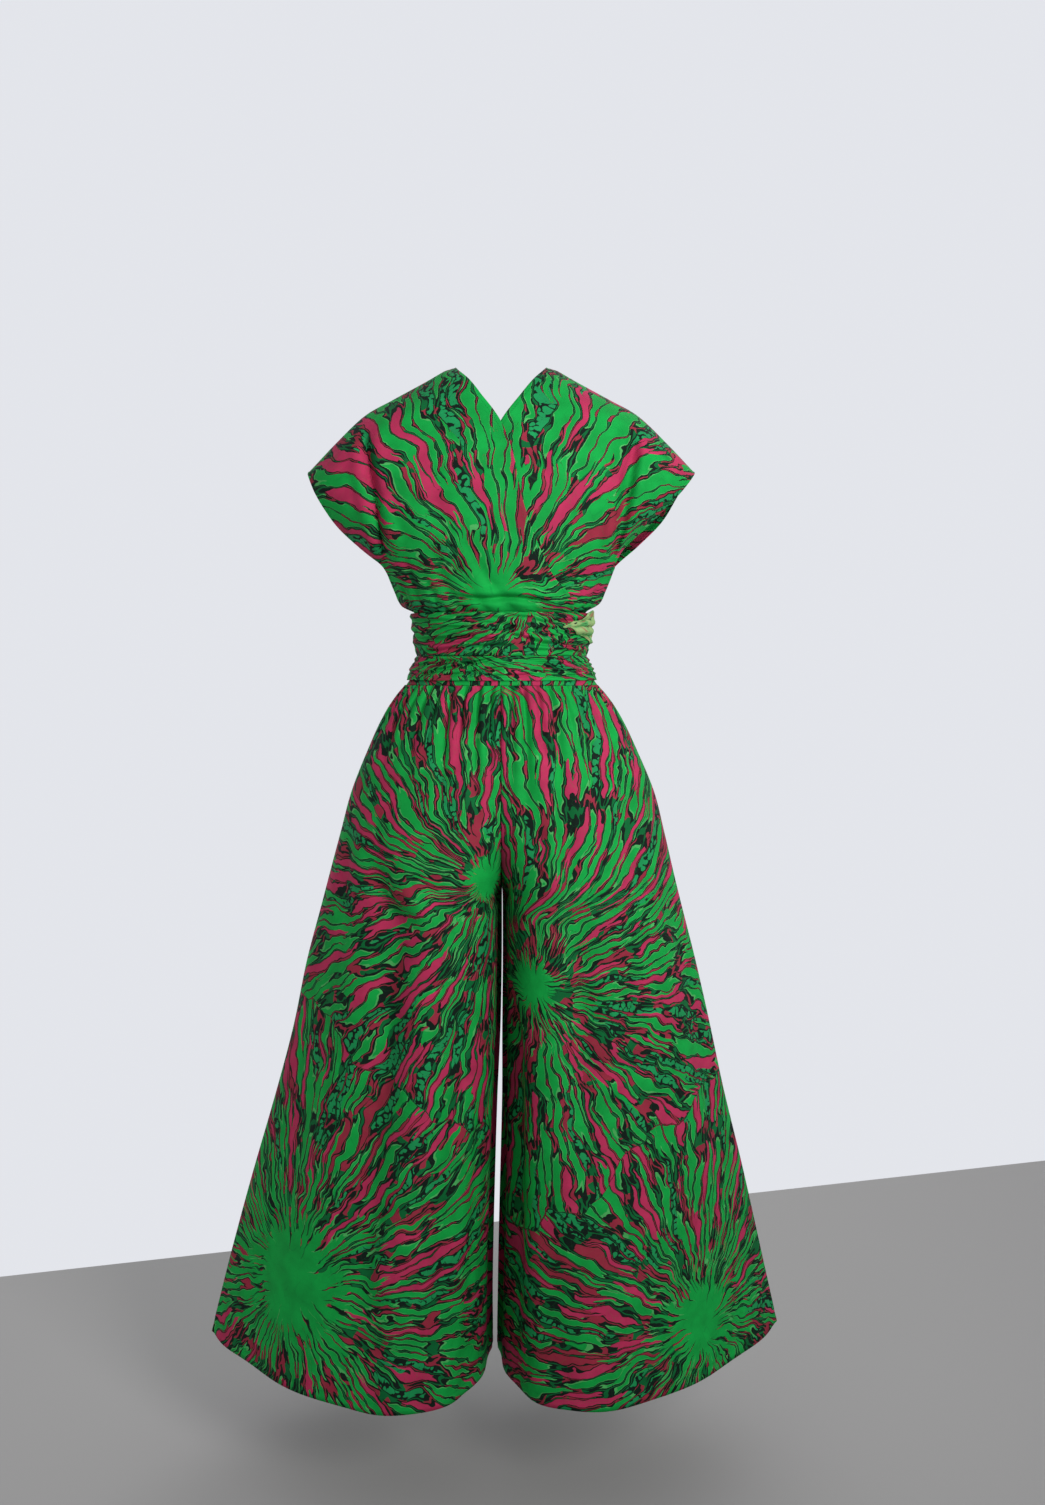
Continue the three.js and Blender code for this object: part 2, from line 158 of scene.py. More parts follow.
# ---------------------------------------------------------------- creases
# Gathers under the waistband, across a trouser panel from the outseam (0) to its inner edge (1).
GATHERS = {
    "back": table("across depth width length", [
        (0.060, 4.0, 0.018, 70),
        (0.150, 5.5, 0.024, 115),
        (0.235, 4.5, 0.019, 80),
        (0.330, 7.0, 0.026, 150),
        (0.420, 5.5, 0.019, 95),
        (0.510, 7.5, 0.025, 135),
        (0.600, 6.0, 0.020, 100),
        (0.690, 9.0, 0.026, 170),
        (0.775, 7.0, 0.019, 120),
        (0.860, 10.0, 0.025, 185),
        (0.940, 8.5, 0.020, 150),
    ]),
    "front": table("across depth width length", [
        (0.070, 5.0, 0.021, 95),
        (0.155, 4.0, 0.018, 70),
        (0.250, 6.5, 0.026, 135),
        (0.340, 5.0, 0.020, 85),
        (0.425, 6.5, 0.023, 120),
        (0.520, 5.5, 0.019, 90),
        (0.610, 8.0, 0.027, 160),
        (0.700, 6.0, 0.020, 105),
        (0.790, 8.5, 0.025, 150),
        (0.870, 7.0, 0.019, 110),
        (0.945, 8.0, 0.021, 140),
    ]),
}
# Long soft folds down each panel. Drift is how far across the fold has moved by its foot, and depth
# under 0 is a ridge.
LONG_FOLDS = {
    "left back": table("across drift width depth top foot", [
        (0.350, 0.07, 0.050, 17.0, -590, -1392),
        (0.475, 0.03, 0.055, -8.0, -600, -1330),
        (0.190, 0.00, 0.045, 5.0, -560, -1392),
        (0.630, -0.02, 0.045, 6.0, -760, -1392),
        (0.120, 0.02, 0.030, 3.0, -700, -1080),
        (0.740, -0.03, 0.026, 3.2, -930, -1392),
        (0.930, 0.00, 0.050, 9.0, -640, -1392),
    ]),
    "right back": table("across drift width depth top foot", [
        (0.860, -0.40, 0.045, -9.0, -480, -800),
        (0.740, -0.24, 0.050, 9.0, -490, -790),
        (0.445, 0.05, 0.052, 15.0, -650, -1080),
        (0.240, 0.01, 0.070, -6.0, -600, -1250),
        (0.120, 0.02, 0.035, 4.0, -640, -1180),
        (0.600, -0.02, 0.045, 5.0, -1020, -1392),
        (0.770, 0.00, 0.065, 15.0, -800, -1392),
        (0.930, 0.00, 0.050, 9.0, -640, -1392),
    ]),
    "left front": table("across drift width depth top foot", [
        (0.22, 0.01, 0.055, 7.5, -580, -1392),
        (0.43, -0.02, 0.055, 12.0, -640, -1290),
        (0.63, 0.02, 0.050, 6.5, -760, -1392),
        (0.84, 0.00, 0.045, 6.0, -640, -1120),
        (0.14, -0.02, 0.028, 3.0, -820, -1240),
        (0.32, 0.02, 0.030, 3.2, -700, -1000),
        (0.54, -0.02, 0.028, 3.4, -900, -1392),
    ]),
    "right front": table("across drift width depth top foot", [
        (0.18, 0.02, 0.050, 6.5, -620, -1392),
        (0.36, 0.05, 0.055, 13.0, -600, -1392),
        (0.51, 0.02, 0.050, -6.0, -640, -1300),
        (0.70, -0.02, 0.050, 8.0, -700, -1392),
        (0.86, 0.00, 0.040, 5.0, -660, -1160),
        (0.27, -0.02, 0.028, 3.2, -820, -1200),
        (0.60, 0.02, 0.026, 3.0, -560, -860),
    ]),
}
# Folds across a strap, from the neckline edge (0) to the sleeve edge (1), by how far down they run.
STRAP_FOLDS = {
    "back": table("across drift width depth top foot", [
        (0.16, 0.02, 0.022, 2.4, 0.62, 0.90),
        (0.30, -0.03, 0.030, 3.4, 0.50, 0.92),
        (0.41, 0.00, 0.018, 2.2, 0.68, 0.90),
        (0.52, 0.05, 0.032, 3.2, 0.40, 0.91),
        (0.63, 0.02, 0.020, 2.4, 0.66, 0.92),
        (0.74, 0.06, 0.028, 3.0, 0.48, 0.90),
        (0.86, 0.02, 0.018, 2.0, 0.70, 0.91),
        (0.36, 0.10, 0.050, 2.4, 0.14, 0.52),
        (0.58, 0.08, 0.045, 2.2, 0.10, 0.46),
    ]),
    "front": table("across drift width depth top foot", [
        (0.14, 0.03, 0.022, 2.6, 0.58, 0.91),
        (0.27, 0.02, 0.028, 3.4, 0.44, 0.90),
        (0.40, -0.02, 0.020, 2.4, 0.66, 0.92),
        (0.50, 0.04, 0.030, 3.0, 0.50, 0.90),
        (0.62, 0.03, 0.022, 2.6, 0.62, 0.91),
        (0.76, 0.04, 0.028, 3.0, 0.52, 0.92),
        (0.87, 0.02, 0.018, 2.2, 0.68, 0.90),
        (0.34, 0.12, 0.050, 2.6, 0.12, 0.50),
        (0.60, 0.06, 0.045, 2.2, 0.16, 0.48),
    ]),
}
# Creases of the sash: each runs from one angle and height to another, by degrees from the centre
# back. Depth under 0 is a ridge.
UPPER_CREASES = table("from_angle from_z to_angle to_z depth width", [
    (-40, -331, 2, -338, 3.6, 2.8),
    (-98, -336, 12, -345, 4.6, 3.0),
    (-86, -346, 13, -348, 3.8, 2.6),
    (-102, -354, 4, -351, 4.4, 3.0),
    (-34, -364, 13, -349, 5.0, 2.8),
    (-88, -363, -14, -361, 4.2, 2.6),
    (-94, -373, 2, -362, 4.6, 3.0),
    (-62, -380, 8, -371, 3.8, 2.6),
    (0, -330, 26, -341, 3.2, 2.4),
    (12, -346, 84, -334, 4.8, 3.0),
    (13, -349, 98, -345, 4.0, 2.6),
    (13, -351, 92, -359, 5.0, 3.0),
    (12, -353, 52, -364, 4.2, 2.6),
    (4, -358, 40, -374, 4.4, 2.8),
    (26, -368, 96, -373, 4.2, 2.6),
    (14, -378, 88, -381, 3.2, 2.2),
    (92, -338, 268, -342, 3.8, 3.0),
    (98, -350, 264, -354, 4.6, 3.2),
    (96, -363, 205, -360, 3.4, 2.6),
    (150, -370, 270, -367, 4.2, 2.8),
    (100, -377, 240, -378, 3.0, 2.4),
])
LOWER_CREASES = table("from_angle from_z to_angle to_z depth width", [
    (-98, -392, -22, -391, 3.2, 2.2),
    (-88, -399, -14, -394, 3.8, 2.2),
    (-64, -415, -2, -387, 5.0, 2.0),
    (-60, -410, -4, -383, -3.2, 2.4),
    (-94, -406, -52, -409, 3.4, 2.2),
    (-40, -413, 6, -400, 4.0, 2.2),
    (-22, -415, 26, -408, 2.6, 2.0),
    (8, -389, 62, -388, 3.0, 1.7),
    (16, -394, 98, -394, 3.4, 1.7),
    (18, -399.5, 96, -399, 3.6, 1.7),
    (14, -405, 98, -405, 3.4, 1.7),
    (24, -411, 94, -411, 3.0, 1.7),
    (98, -393, 266, -395, 3.8, 2.2),
    (94, -402, 262, -401, 4.0, 2.2),
    (100, -410, 258, -411, 3.2, 2.0),
])
SASH_FULLNESS = 1.4        # how far the folded layers of the sash push it out


# ---------------------------------------------------------------- small helpers
def clamp(value, low=0.0, high=1.0):
    return min(max(value, low), high)


def lerp(a, b, t):
    return a + (b - a) * t


def smooth(value, low, high):
    """0 below low, 1 above high and a smooth step between them."""
    t = clamp((value - low) / (high - low))
    return t * t * (3 - 2 * t)


def read(rows, key, at, column):
    """A named column at a key, on a smooth curve through the table's rows."""
    rows = rows if rows[0][key] < rows[-1][key] else rows[::-1]
    last = len(rows) - 1
    place = clamp(at, rows[0][key], rows[last][key])
    i = 0
    while i < last - 1 and place > rows[i + 1][key]:
        i += 1
    start, end = rows[i], rows[i + 1]
    before, after = rows[max(i - 1, 0)], rows[min(i + 2, last)]
    span = end[key] - start[key]
    t = (place - start[key]) / span
    slope_start = (end[column] - before[column]) / (end[key] - before[key]) * span
    slope_end = (after[column] - start[column]) / (after[key] - start[key]) * span
    t2, t3 = t * t, t * t * t
    return ((2 * t3 - 3 * t2 + 1) * start[column] + (t3 - 2 * t2 + t) * slope_start
            + (3 * t2 - 2 * t3) * end[column] + (t3 - t2) * slope_end)


def dip(distance, width):
    """A soft trough or ridge: 1 in its middle and 0 away from it."""
    return math.exp(-(distance / width) ** 2)


def normal_at(surface, u, v, step_u, step_v):
    """Unit normal of surface(u, v), the way that cross(du, dv) points."""
    along_u = surface(u + step_u, v) - surface(u - step_u, v)
    along_v = surface(u, v + step_v) - surface(u, v - step_v)
    return along_u.cross(along_v).normalized()


def tilt_waist(point):
    """The waistline is raised behind and lowered in front, fading out above and below."""
    near = smooth(point.z, *WAIST_TILT["below"]) * (1 - smooth(point.z, *WAIST_TILT["above"]))
    point.z -= WAIST_RISE * near * point.y / 100
    return point


# ---------------------------------------------------------------- straps
# The crease where a sleeve leaves the body, with a ridge two widths to each side of it.
STRAP_CREASE = {
    "depth": 13, "width": 7.5, "ridge": 4,
    "top_x": 174, "top_z": -80, "end_x": 150, "end_z": -245,
    "fade_below": 30, "fade_above": 20,
}
STRAP_CURL = 1.35          # how far the sleeve edge turns under, as an angle
CROWN_REACH = 0.45         # how far down a strap the shoulder line's own curve is felt
STRAP_WIDTH = 215          # between a strap's edges, about
HEM_ROLL = 6               # width of the narrow rolled hem along a strap's edges
HEM_STEP = 0.6             # how much thicker the cloth is there
HEM_SLOPE = (-2, 1)        # where that step slopes off, from the hem's width
HEM_STITCHES = 5           # how far in from a strap's edge its hem is stitched
LAYERS_APART = (0, 0.15)   # how far down a strap the two layers part
LAYERS_BOUND = (0.85, 0.9)       # and where the sash draws them together
# How far along itself a strap's fold is full, where it fades, and the low lip beside it.
FOLD_FULL = 0.45
FOLD_FADES = (0.9, 1.05)
FOLD_LIP = 0.35
FOLDS_END = (0.885, 0.9)   # how far down a strap the sash presses the folds flat
# The cloth blouses over the sash: a fold across the strap, with a bulge above it.
BLOUSE_FOLD = {
    "down": 0.832, "width": 0.0145, "depth": 9.0, "bulge": 4.5, "bulge_up": 2.6,
    "starts": (0.07, 0.15), "ends": (0.4, 0.56),
    "sag": 0.018, "sag_ends": (0.1, 0.27), "ripple": 0.004, "ripples": 21,
}
PEAK = {"drop": 5, "across": 0.035, "along": 0.05}       # the neckline's soft corner on the shoulder
# How far the right sleeve's back edge is drawn in, so that the front layer shows past it.
DRAWN_IN = table("down by", [(0, 0), (0.12, 7), (0.25, 17), (0.36, 18), (0.48, 6), (0.6, 0), (1, 0)])
DRAWN_IN_FROM = 0.72       # how far across the strap that begins


@lru_cache(maxsize=None)
def shoulder_height(x):
    """Height of the shoulder line at a place across the body."""
    return read(SHOULDER, "x", abs(x), "z")


@lru_cache(maxsize=None)
def strap_edges(v):
    """Inner and outer edge of a strap at a share of its length from the shoulder."""
    rows = STRAP_BACK if v < 0 else STRAP_FRONT
    return [read(rows, "down", abs(v), column) for column in ("inner_x", "inner_z", "outer_x", "outer_z")]


def bodice_depth(x, z, facing):
    """How far the worn cloth stands from the middle plane at (x, z), behind or in front."""
    reach = read(BODICE, "z", z, "reach")
    deepest = read(BODICE, "z", z, facing)
    across = min(abs(x) / reach, SIDE_LIMIT)
    under = clamp((shoulder_height(round(x, 2)) - z) / SHOULDER_ROLL)
    roll = math.sqrt(1 - (1 - under) ** 2)
    crease = STRAP_CREASE
    along = (z - crease["top_z"]) / (crease["end_z"] - crease["top_z"])
    aside = abs(x) - lerp(crease["top_x"], crease["end_x"], along)
    press = crease["depth"] * dip(aside, crease["width"])
    press -= crease["ridge"] * (dip(aside - 2 * crease["width"], crease["width"])
                                + dip(aside + 2 * crease["width"], crease["width"]))
    above_end = smooth(z, crease["end_z"] - crease["fade_below"], crease["end_z"] + crease["fade_above"])
    press *= smooth(under, 0.5, 1) * above_end
    return (deepest * math.sqrt(1 - across ** 2) - press) * roll


def strap_point(u, v):
    """Surface of the strap on the +x side: u from neckline edge (0) to sleeve edge (1), and
    v from the back waist (-1) over the shoulder (0) to the front waist (1)."""
    inner_x, inner_z, outer_x, outer_z = strap_edges(round(v, 6))
    share = math.sin(u * STRAP_CURL) / math.sin(STRAP_CURL)
    x = lerp(inner_x, outer_x, share)
    straight = lerp(inner_z, outer_z, share)
    neck, tip = SHOULDER[0], SHOULDER[-1]
    crown = shoulder_height(round(lerp(neck["x"], tip["x"], share), 2)) - lerp(neck["z"], tip["z"], share)
    z = straight + crown * (1 - smooth(abs(v), 0, CROWN_REACH))
    depth = bodice_depth(x, z, "back" if v < 0 else "front")
    return Vector((x, -depth if v < 0 else depth, z))


def layer_lift(down):
    """How far a layer is lifted: not at the shoulder, fully on the back, less under the sash."""
    return LAYER * smooth(down, *LAYERS_APART) - (LAYER - LAYER_AT_WAIST) * smooth(down, *LAYERS_BOUND)


def strap_relief(u, v):
    """How far the folds move a strap's cloth out at (u, v)."""
    down = abs(v)
    facing = "back" if v < 0 else "front"
    out = 0.0
    for fold in STRAP_FOLDS[facing]:
        along = (down - fold["top"]) / (fold["foot"] - fold["top"])
        reach = smooth(along, 0, FOLD_FULL) * (1 - smooth(along, *FOLD_FADES))
        centre = fold["across"] + fold["drift"] * (along - 0.5)
        out -= fold["depth"] * reach * dip(u - centre, fold["width"])
        out += FOLD_LIP * fold["depth"] * reach * dip(u - centre - 2 * fold["width"], fold["width"])
    fold = BLOUSE_FOLD
    across = smooth(u, *fold["starts"]) * (1 - smooth(u, *fold["ends"]))
    line = fold["down"] + fold["sag"] * (1 - smooth(u, *fold["sag_ends"]))
    line += fold["ripple"] * math.sin(u * fold["ripples"])
    out -= fold["depth"] * across * dip(down - line, fold["width"])
    out += fold["bulge"] * across * dip(down - line + fold["bulge_up"] * fold["width"], 2 * fold["width"])
    out *= 1 - smooth(down, *FOLDS_END)
    from_edge = min(u, 1 - u) * STRAP_WIDTH
    return out + HEM_STEP * (1 - smooth(from_edge, HEM_ROLL + HEM_SLOPE[0], HEM_ROLL + HEM_SLOPE[1]))


# ---------------------------------------------------------------- bands round the waist
# How a crease of the sash runs: it waves a little, fades at both ends and has a lip above it.
CREASE_RUN = {"wave": 0.8, "waves": 7, "full": 0.15, "fading": 0.9, "lip": 0.55, "lip_width": 1.3}
CREASE_AT_SIDE = 0.6       # share of its depth that a crease keeps at the body's sides


def crease_depth(creases, degrees, z):
    """How deep the creases press a sash at an angle and height."""
    depth = 0.0
    run = CREASE_RUN
    for crease in creases:
        for turn in (0, 360):
            along = (degrees + turn - crease["from_angle"]) / (crease["to_angle"] - crease["from_angle"])
            if not 0 < along < 1:
                continue
            line = lerp(crease["from_z"], crease["to_z"], along)
            line += run["wave"] * math.sin(along * run["waves"] + crease["from_z"])
            reach = smooth(along, 0, run["full"]) * (1 - smooth(along, run["fading"], 1))
            above = z - line
            depth += crease["depth"] * reach * dip(above, crease["width"])
            lip = run["lip"] * crease["depth"] * reach
            depth -= lip * dip(above - 2 * crease["width"], run["lip_width"] * crease["width"])
    return depth


def band_point(outline, creases, u, z):
    """Surface of a band: u goes once round it, from the front and through the back."""
    angle = u * 2 * math.pi - math.pi
    press = crease_depth(creases, math.degrees(angle), z) * lerp(CREASE_AT_SIDE, 1, abs(math.cos(angle)))
    half = read(outline, "z", z, "half") - press
    deep = read(outline, "z", z, "back" if math.cos(angle) > 0 else "front") - press
    if creases:
        half, deep = half + SASH_FULLNESS, deep + SASH_FULLNESS
    return Vector((half * math.sin(angle), -deep * math.cos(angle), z))


# ---------------------------------------------------------------- trouser panels
PANEL_EDGES = (0.04, 0.98)       # between these the folds are full, and they end at the panel's seams
# A gather is shallow at the seam, full a little below it, then opens out and fades. Lift says how
# far the cloth between gathers stands out.
GATHER = {
    "at_seam": 0.55, "gained": 0.45, "full_below": 14, "holds": 0.2,
    "start_width": 0.8, "opens": 0.5, "lift": 2.5,
}
# Small puckers that the gathering stitches leave just under the seam.
PUCKER = {"depth": 0.55, "waves": 190, "shift": 2, "shift_waves": 31, "fades": (4, 34)}
# How far a long fold runs past its foot, and how far from its foot and its top it is full.
LONG_RUN = {"past_foot": 60, "from_foot": 160, "from_top": 120}
HEM_GROOVE = {"depth": 0.5, "width": 1.5}        # where the hem's stitches draw the cloth in
HEM_WAVE = {"depth": 1.6, "waves": 37, "shift": 3, "height": 120, "edges": (0.05, 0.95)}
ROW_CROWDING = 1.35        # 1 would space a panel's rows evenly, and more crowds them at the gathers


def leg_share(angle, skew):
    """Share of the way from outseam to inseam at an angle round a leg."""
    return (1 - math.cos(angle)) / 2 + skew * math.sin(angle) ** 2


@lru_cache(maxsize=None)
def leg_row(z, side_name, facing):
    """A leg's sizes at a height, for one of its quarters."""
    return [read(LEGS, "z", z, column) for column in (side_name, "inseam", facing, "parted", "point", "skew")]


def panel_point(u, z, side_name, facing):
    """Surface of the quarter with x and y both positive: u from the outseam (0) to the centre
    seam and inseam (1)."""
    outseam, inseam, deep, parted, point, skew = leg_row(round(z, 4), side_name, facing)
    last_angle = clamp(math.pi / 2 * (1 + parted), math.pi / 2, math.pi)
    angle = u * last_angle
    across = leg_share(angle, skew) / leg_share(last_angle, skew)
    bulge = max(math.sin(angle), 0) ** lerp((1 + point) / 2, point, math.cos(angle / 2) ** 2)
    return Vector((lerp(outseam, inseam, across), deep * bulge, z))


def panel_relief(u, z, side_name, facing):
    """How far the gathers and folds move a trouser panel's cloth out at (u, z)."""
    below = WAIST_SEAM - z
    edge = smooth(u, 0, PANEL_EDGES[0]) * (1 - smooth(u, PANEL_EDGES[1], 1))
    start = GATHER["at_seam"] + GATHER["gained"] * smooth(below, 0, GATHER["full_below"])
    out = 0.0
    for gather in GATHERS[facing]:
        fade = 1 - smooth(below, gather["length"] * GATHER["holds"], gather["length"])
        spread = gather["width"] * (GATHER["start_width"] + GATHER["opens"] * below / gather["length"])
        trough = dip(u - gather["across"], spread)
        out += gather["depth"] * fade * start * (GATHER["lift"] * gather["width"] - trough)
    shift = PUCKER["shift"] * math.sin(u * PUCKER["shift_waves"])
    pucker = PUCKER["depth"] * math.sin(u * PUCKER["waves"] + shift) * (1 - smooth(below, *PUCKER["fades"]))
    for fold in LONG_FOLDS[f"{side_name} {facing}"]:
        end = fold["foot"] - LONG_RUN["past_foot"]
        if not end < z < fold["top"]:
            continue
        along = smooth(z, end, fold["foot"] + LONG_RUN["from_foot"])
        along *= 1 - smooth(z, fold["top"] - LONG_RUN["from_top"], fold["top"])
        centre = fold["across"] + fold["drift"] * (fold["top"] - z) / (fold["top"] - fold["foot"])
        out -= fold["depth"] * along * dip(u - centre, fold["width"])
    return (out + pucker) * edge


# ---------------------------------------------------------------- printed cotton
# Where the print's bursts lie on each piece, by width across the body and height, and how large
# their plain middles are.
BURSTS = {
    "strap_left": table("x z facing size", [
        (4, -300, "back", 44),
        (-20, -300, "front", 60),
    ]),
    "strap_right": table("x z facing size", [
        (10, -298, "back", 40),
        (30, -262, "front", 58),
    ]),
    "sash_upper": table("x z facing size", [
        (-190, -352, "back", 30),
        (35, -300, "back", 26),
        (150, -420, "back", 30),
        (118, -350, "front", 30),
    ]),
    "sash_lower": table("x z facing size", [
        (130, -440, "back", 28),
        (-70, -350, "back", 30),
        (-112, -432, "front", 28),
    ]),
    "waistband": table("x z facing size", [
        (0, -500, "back", 30),
        (0, -340, "front", 30),
    ]),
    "trouser_left_back": table("x z facing size", [
        (-16, -668, "back", 32),
        (-290, -1232, "back", 72),
    ]),
    "trouser_right_back": table("x z facing size", [
        (39, -802, "back", 34),
        (277, -1288, "back", 50),
    ]),
    "trouser_left_front": table("x z facing size", [
        (-95, -640, "front", 44),
        (-210, -1150, "front", 66),
        (-20, -1330, "front", 34),
        (-330, -840, "front", 30),
    ]),
    "trouser_right_front": table("x z facing size", [
        (30, -700, "front", 36),
        (300, -1010, "front", 60),
        (110, -1340, "front", 48),
        (220, -560, "front", 26),
    ]),
}

# Sizes of the print, in metres unless it says otherwise. Where something wanders, the first number
# is how fine the wandering is, in turns to the metre, and the second how far it goes.
PRINT = {
    "outline": 0.0012,         # width of the black line round a ray
    "pale_line": 0.0005,       # width of the pale line inside a green ray's outline
    "pale_share": 0.55,        # how strongly it shows
    "sliver": (0.0004, 0.0017),      # narrowest and widest half of a dark sliver between two rays
    "sliver_patches": 26.0,    # how fine the patches are in which slivers widen
    "sliver_colors": 33.0,     # how fine the patches are in which slivers change colour
    "first_ring": 0.078,       # how far out the rays first branch
    "first_rays": 5.1,         # rays for each radian before that
    "branching": 1.5,          # how many times more there are after each ring
    "ragged_ring": (13.0, 1.7),      # how finely a ring wanders, and how far for its radius
    "ring_line": 3.6,          # how many times thinner the lines are at the rings
    "border": (8.0, 0.20),     # how the border between two bursts wanders
    "border_line": 0.8,        # distance from the line along it, for each metre of lead
    "ray_spread": 0.92,        # how unevenly the rays are spaced, from 0 to 1
    "bubble": 0.0062,          # from bubble to bubble in the bubbly rays
    "bubble_rim": (0.56, 0.64),      # where a bubble ends and its dark surround starts
    "stagger": (1.1, 0.9),     # how quickly rays shift along each other, and how far
    "spike": (3.4, -0.62),     # how unevenly the plain heart reaches out between the rays
    "heart_rim": (0.85, 1.35),       # where lines open up round the heart, in sizes of the heart
    "heart_green": (1.1, 1.0),       # how much further out some rays stay green, and how far all do
    "wander": [(14.0, 0.036), (34.0, 0.016), (80.0, 0.0045)],    # how lines wander
}
# A ray draws a number from 0 to 1 and takes the first colour here whose limit isn't below it.
RAY_TONES = table("up_to tone", [(0.57, "green"), (0.81, "pink"), (0.98, "dotted"), (1.0, "maroon")])
DYED_TONES = {
    "maroon": (0.30, 0.026, 0.05, 1),
    "leaf": (0.004, 0.13, 0.034, 1),
    "pale": (0.13, 0.47, 0.15, 1),
    "bubble": (0.012, 0.28, 0.085, 1),
}
# Shifts that give every piece and every ring its own stretch of the pattern.
SHIFTS = {"bolt": (2.1, 1.3), "round": 11.3, "ring": 7.3}
# Uneven dye, in patches to the metre, and how much it changes the colour.
DYE = {"patches": 34.0, "weak": 0.82, "strong": 1.12}
# Veins of cracked wax, in cells to the metre, their width as a share of a cell, and their strength.
VEINS = {"cells": 62.0, "width": 0.022, "strength": 0.22}
# From thread to thread in metres, how uneven the threads are, and the cloth's finer crispness.
WEAVE = {"pitch": 0.0005, "slub": 0.6, "crisp": 160.0, "crispness": 1.2, "relief": 0.00012}
# How closely the rays lie on each kind of piece, and how long they are.
CUT = {
    "strap": {"crowding": 1.1, "ray_length": 0.17},
    "sash": {"crowding": 1.1, "ray_length": 0.08},
    "waistband": {"crowding": 1.1, "ray_length": 0.08},
    "trouser": {"crowding": 1.55, "ray_length": 0.13},
}


class Board:
    """A node tree that is built one node at a time."""

    def __init__(self, tree):
        self.tree = tree

    def add(self, kind, inputs=None, output=0, **settings):
        """Adds a node, links or sets its inputs, and gives back one of its outputs."""
        node = self.tree.nodes.new(kind)
        for name, value in settings.items():
            setattr(node, name, value)
        for name, value in (inputs or {}).items():
            if isinstance(value, bpy.types.NodeSocket):
                self.tree.links.new(value, node.inputs[name])
            else:
                node.inputs[name].default_value = value
        return node.outputs[output]

    def add_output(self, shader):
        output = self.tree.nodes.new("ShaderNodeOutputMaterial")
        self.tree.links.new(shader, output.inputs["Surface"])

    def math(self, operation, *values):
        return self.add("ShaderNodeMath", dict(enumerate(values)), operation=operation)

    def vector(self, operation, *values, output=0):
        return self.add("ShaderNodeVectorMath", dict(enumerate(values)), output, operation=operation)

    def scaled(self, vector, scale):
        return self.add("ShaderNodeVectorMath", {0: vector, "Scale": scale}, operation="SCALE")

    def step(self, value, low, high):
        """A smooth step from 0 at low to 1 at high."""
        inputs = {"Value": value, "From Min": low, "From Max": high}
        return self.add("ShaderNodeMapRange", inputs, interpolation_type="SMOOTHSTEP")

    def blend_vector(self, share, a, b):
        return self.add("ShaderNodeMix", {0: share, 4: a, 5: b}, output=1, data_type="VECTOR")

    def blend_color(self, share, a, b):
        return self.add("ShaderNodeMix", {0: share, 6: a, 7: b}, output=2, data_type="RGBA")

    def noise(self, vector, scale, detail=1.0, output=0):
        return self.add("ShaderNodeTexNoise", {"Vector": vector, "Scale": scale, "Detail": detail}, output)


def blank_material(name):
    """A new material without nodes, and the board that they go on."""
    material = bpy.data.materials.new(name)
    material.use_nodes = True
    material.node_tree.nodes.clear()
    return material, Board(material.node_tree)


FLAT = (1.0, 1.0, 0.0)     # keeps the two directions of the cloth's plane


def wandering(board, cloth, bolt):
    """The cloth's own plane, shifted about so that lines drawn on it wander."""
    point = cloth
    for detail, reach in PRINT["wander"]:
        wander = board.vector("SUBTRACT", board.noise(bolt, detail, output=1), (0.5, 0.5, 0.5))
        point = board.vector("ADD", point, board.scaled(wander, reach))
    return board.vector("MULTIPLY", point, FLAT)


def nearest_burst(board, point, centres):
    """Offset from the nearest burst, its length, the lead it has on the next burst, and its size.

    A centre holds its size as its third number. A lone burst leads by a metre."""
    detail, ragged = PRINT["border"]
    offset, nearest, second = None, None, None
    for centre in centres:
        other = board.vector("SUBTRACT", point, centre)
        distance = board.vector("LENGTH", board.vector("MULTIPLY", other, FLAT), output=1)
        reach = board.math("MULTIPLY_ADD", board.noise(other, detail, 2.0), ragged, distance)
        if offset is None:
            offset, nearest, second = other, reach, board.math("ADD", reach, 1.0)
            continue
        nearer = board.math("LESS_THAN", reach, nearest)
        second = board.math("MINIMUM", second, board.math("MAXIMUM", reach, nearest))
        offset = board.blend_vector(nearer, offset, other)
        nearest = board.math("MINIMUM", reach, nearest)
    size = board.math("MULTIPLY", board.add("ShaderNodeSeparateXYZ", {0: offset}, output=2), -1.0)
    offset = board.vector("MULTIPLY", offset, FLAT)
    radius = board.vector("LENGTH", offset, output=1)
    return offset, radius, board.math("SUBTRACT", second, nearest), size


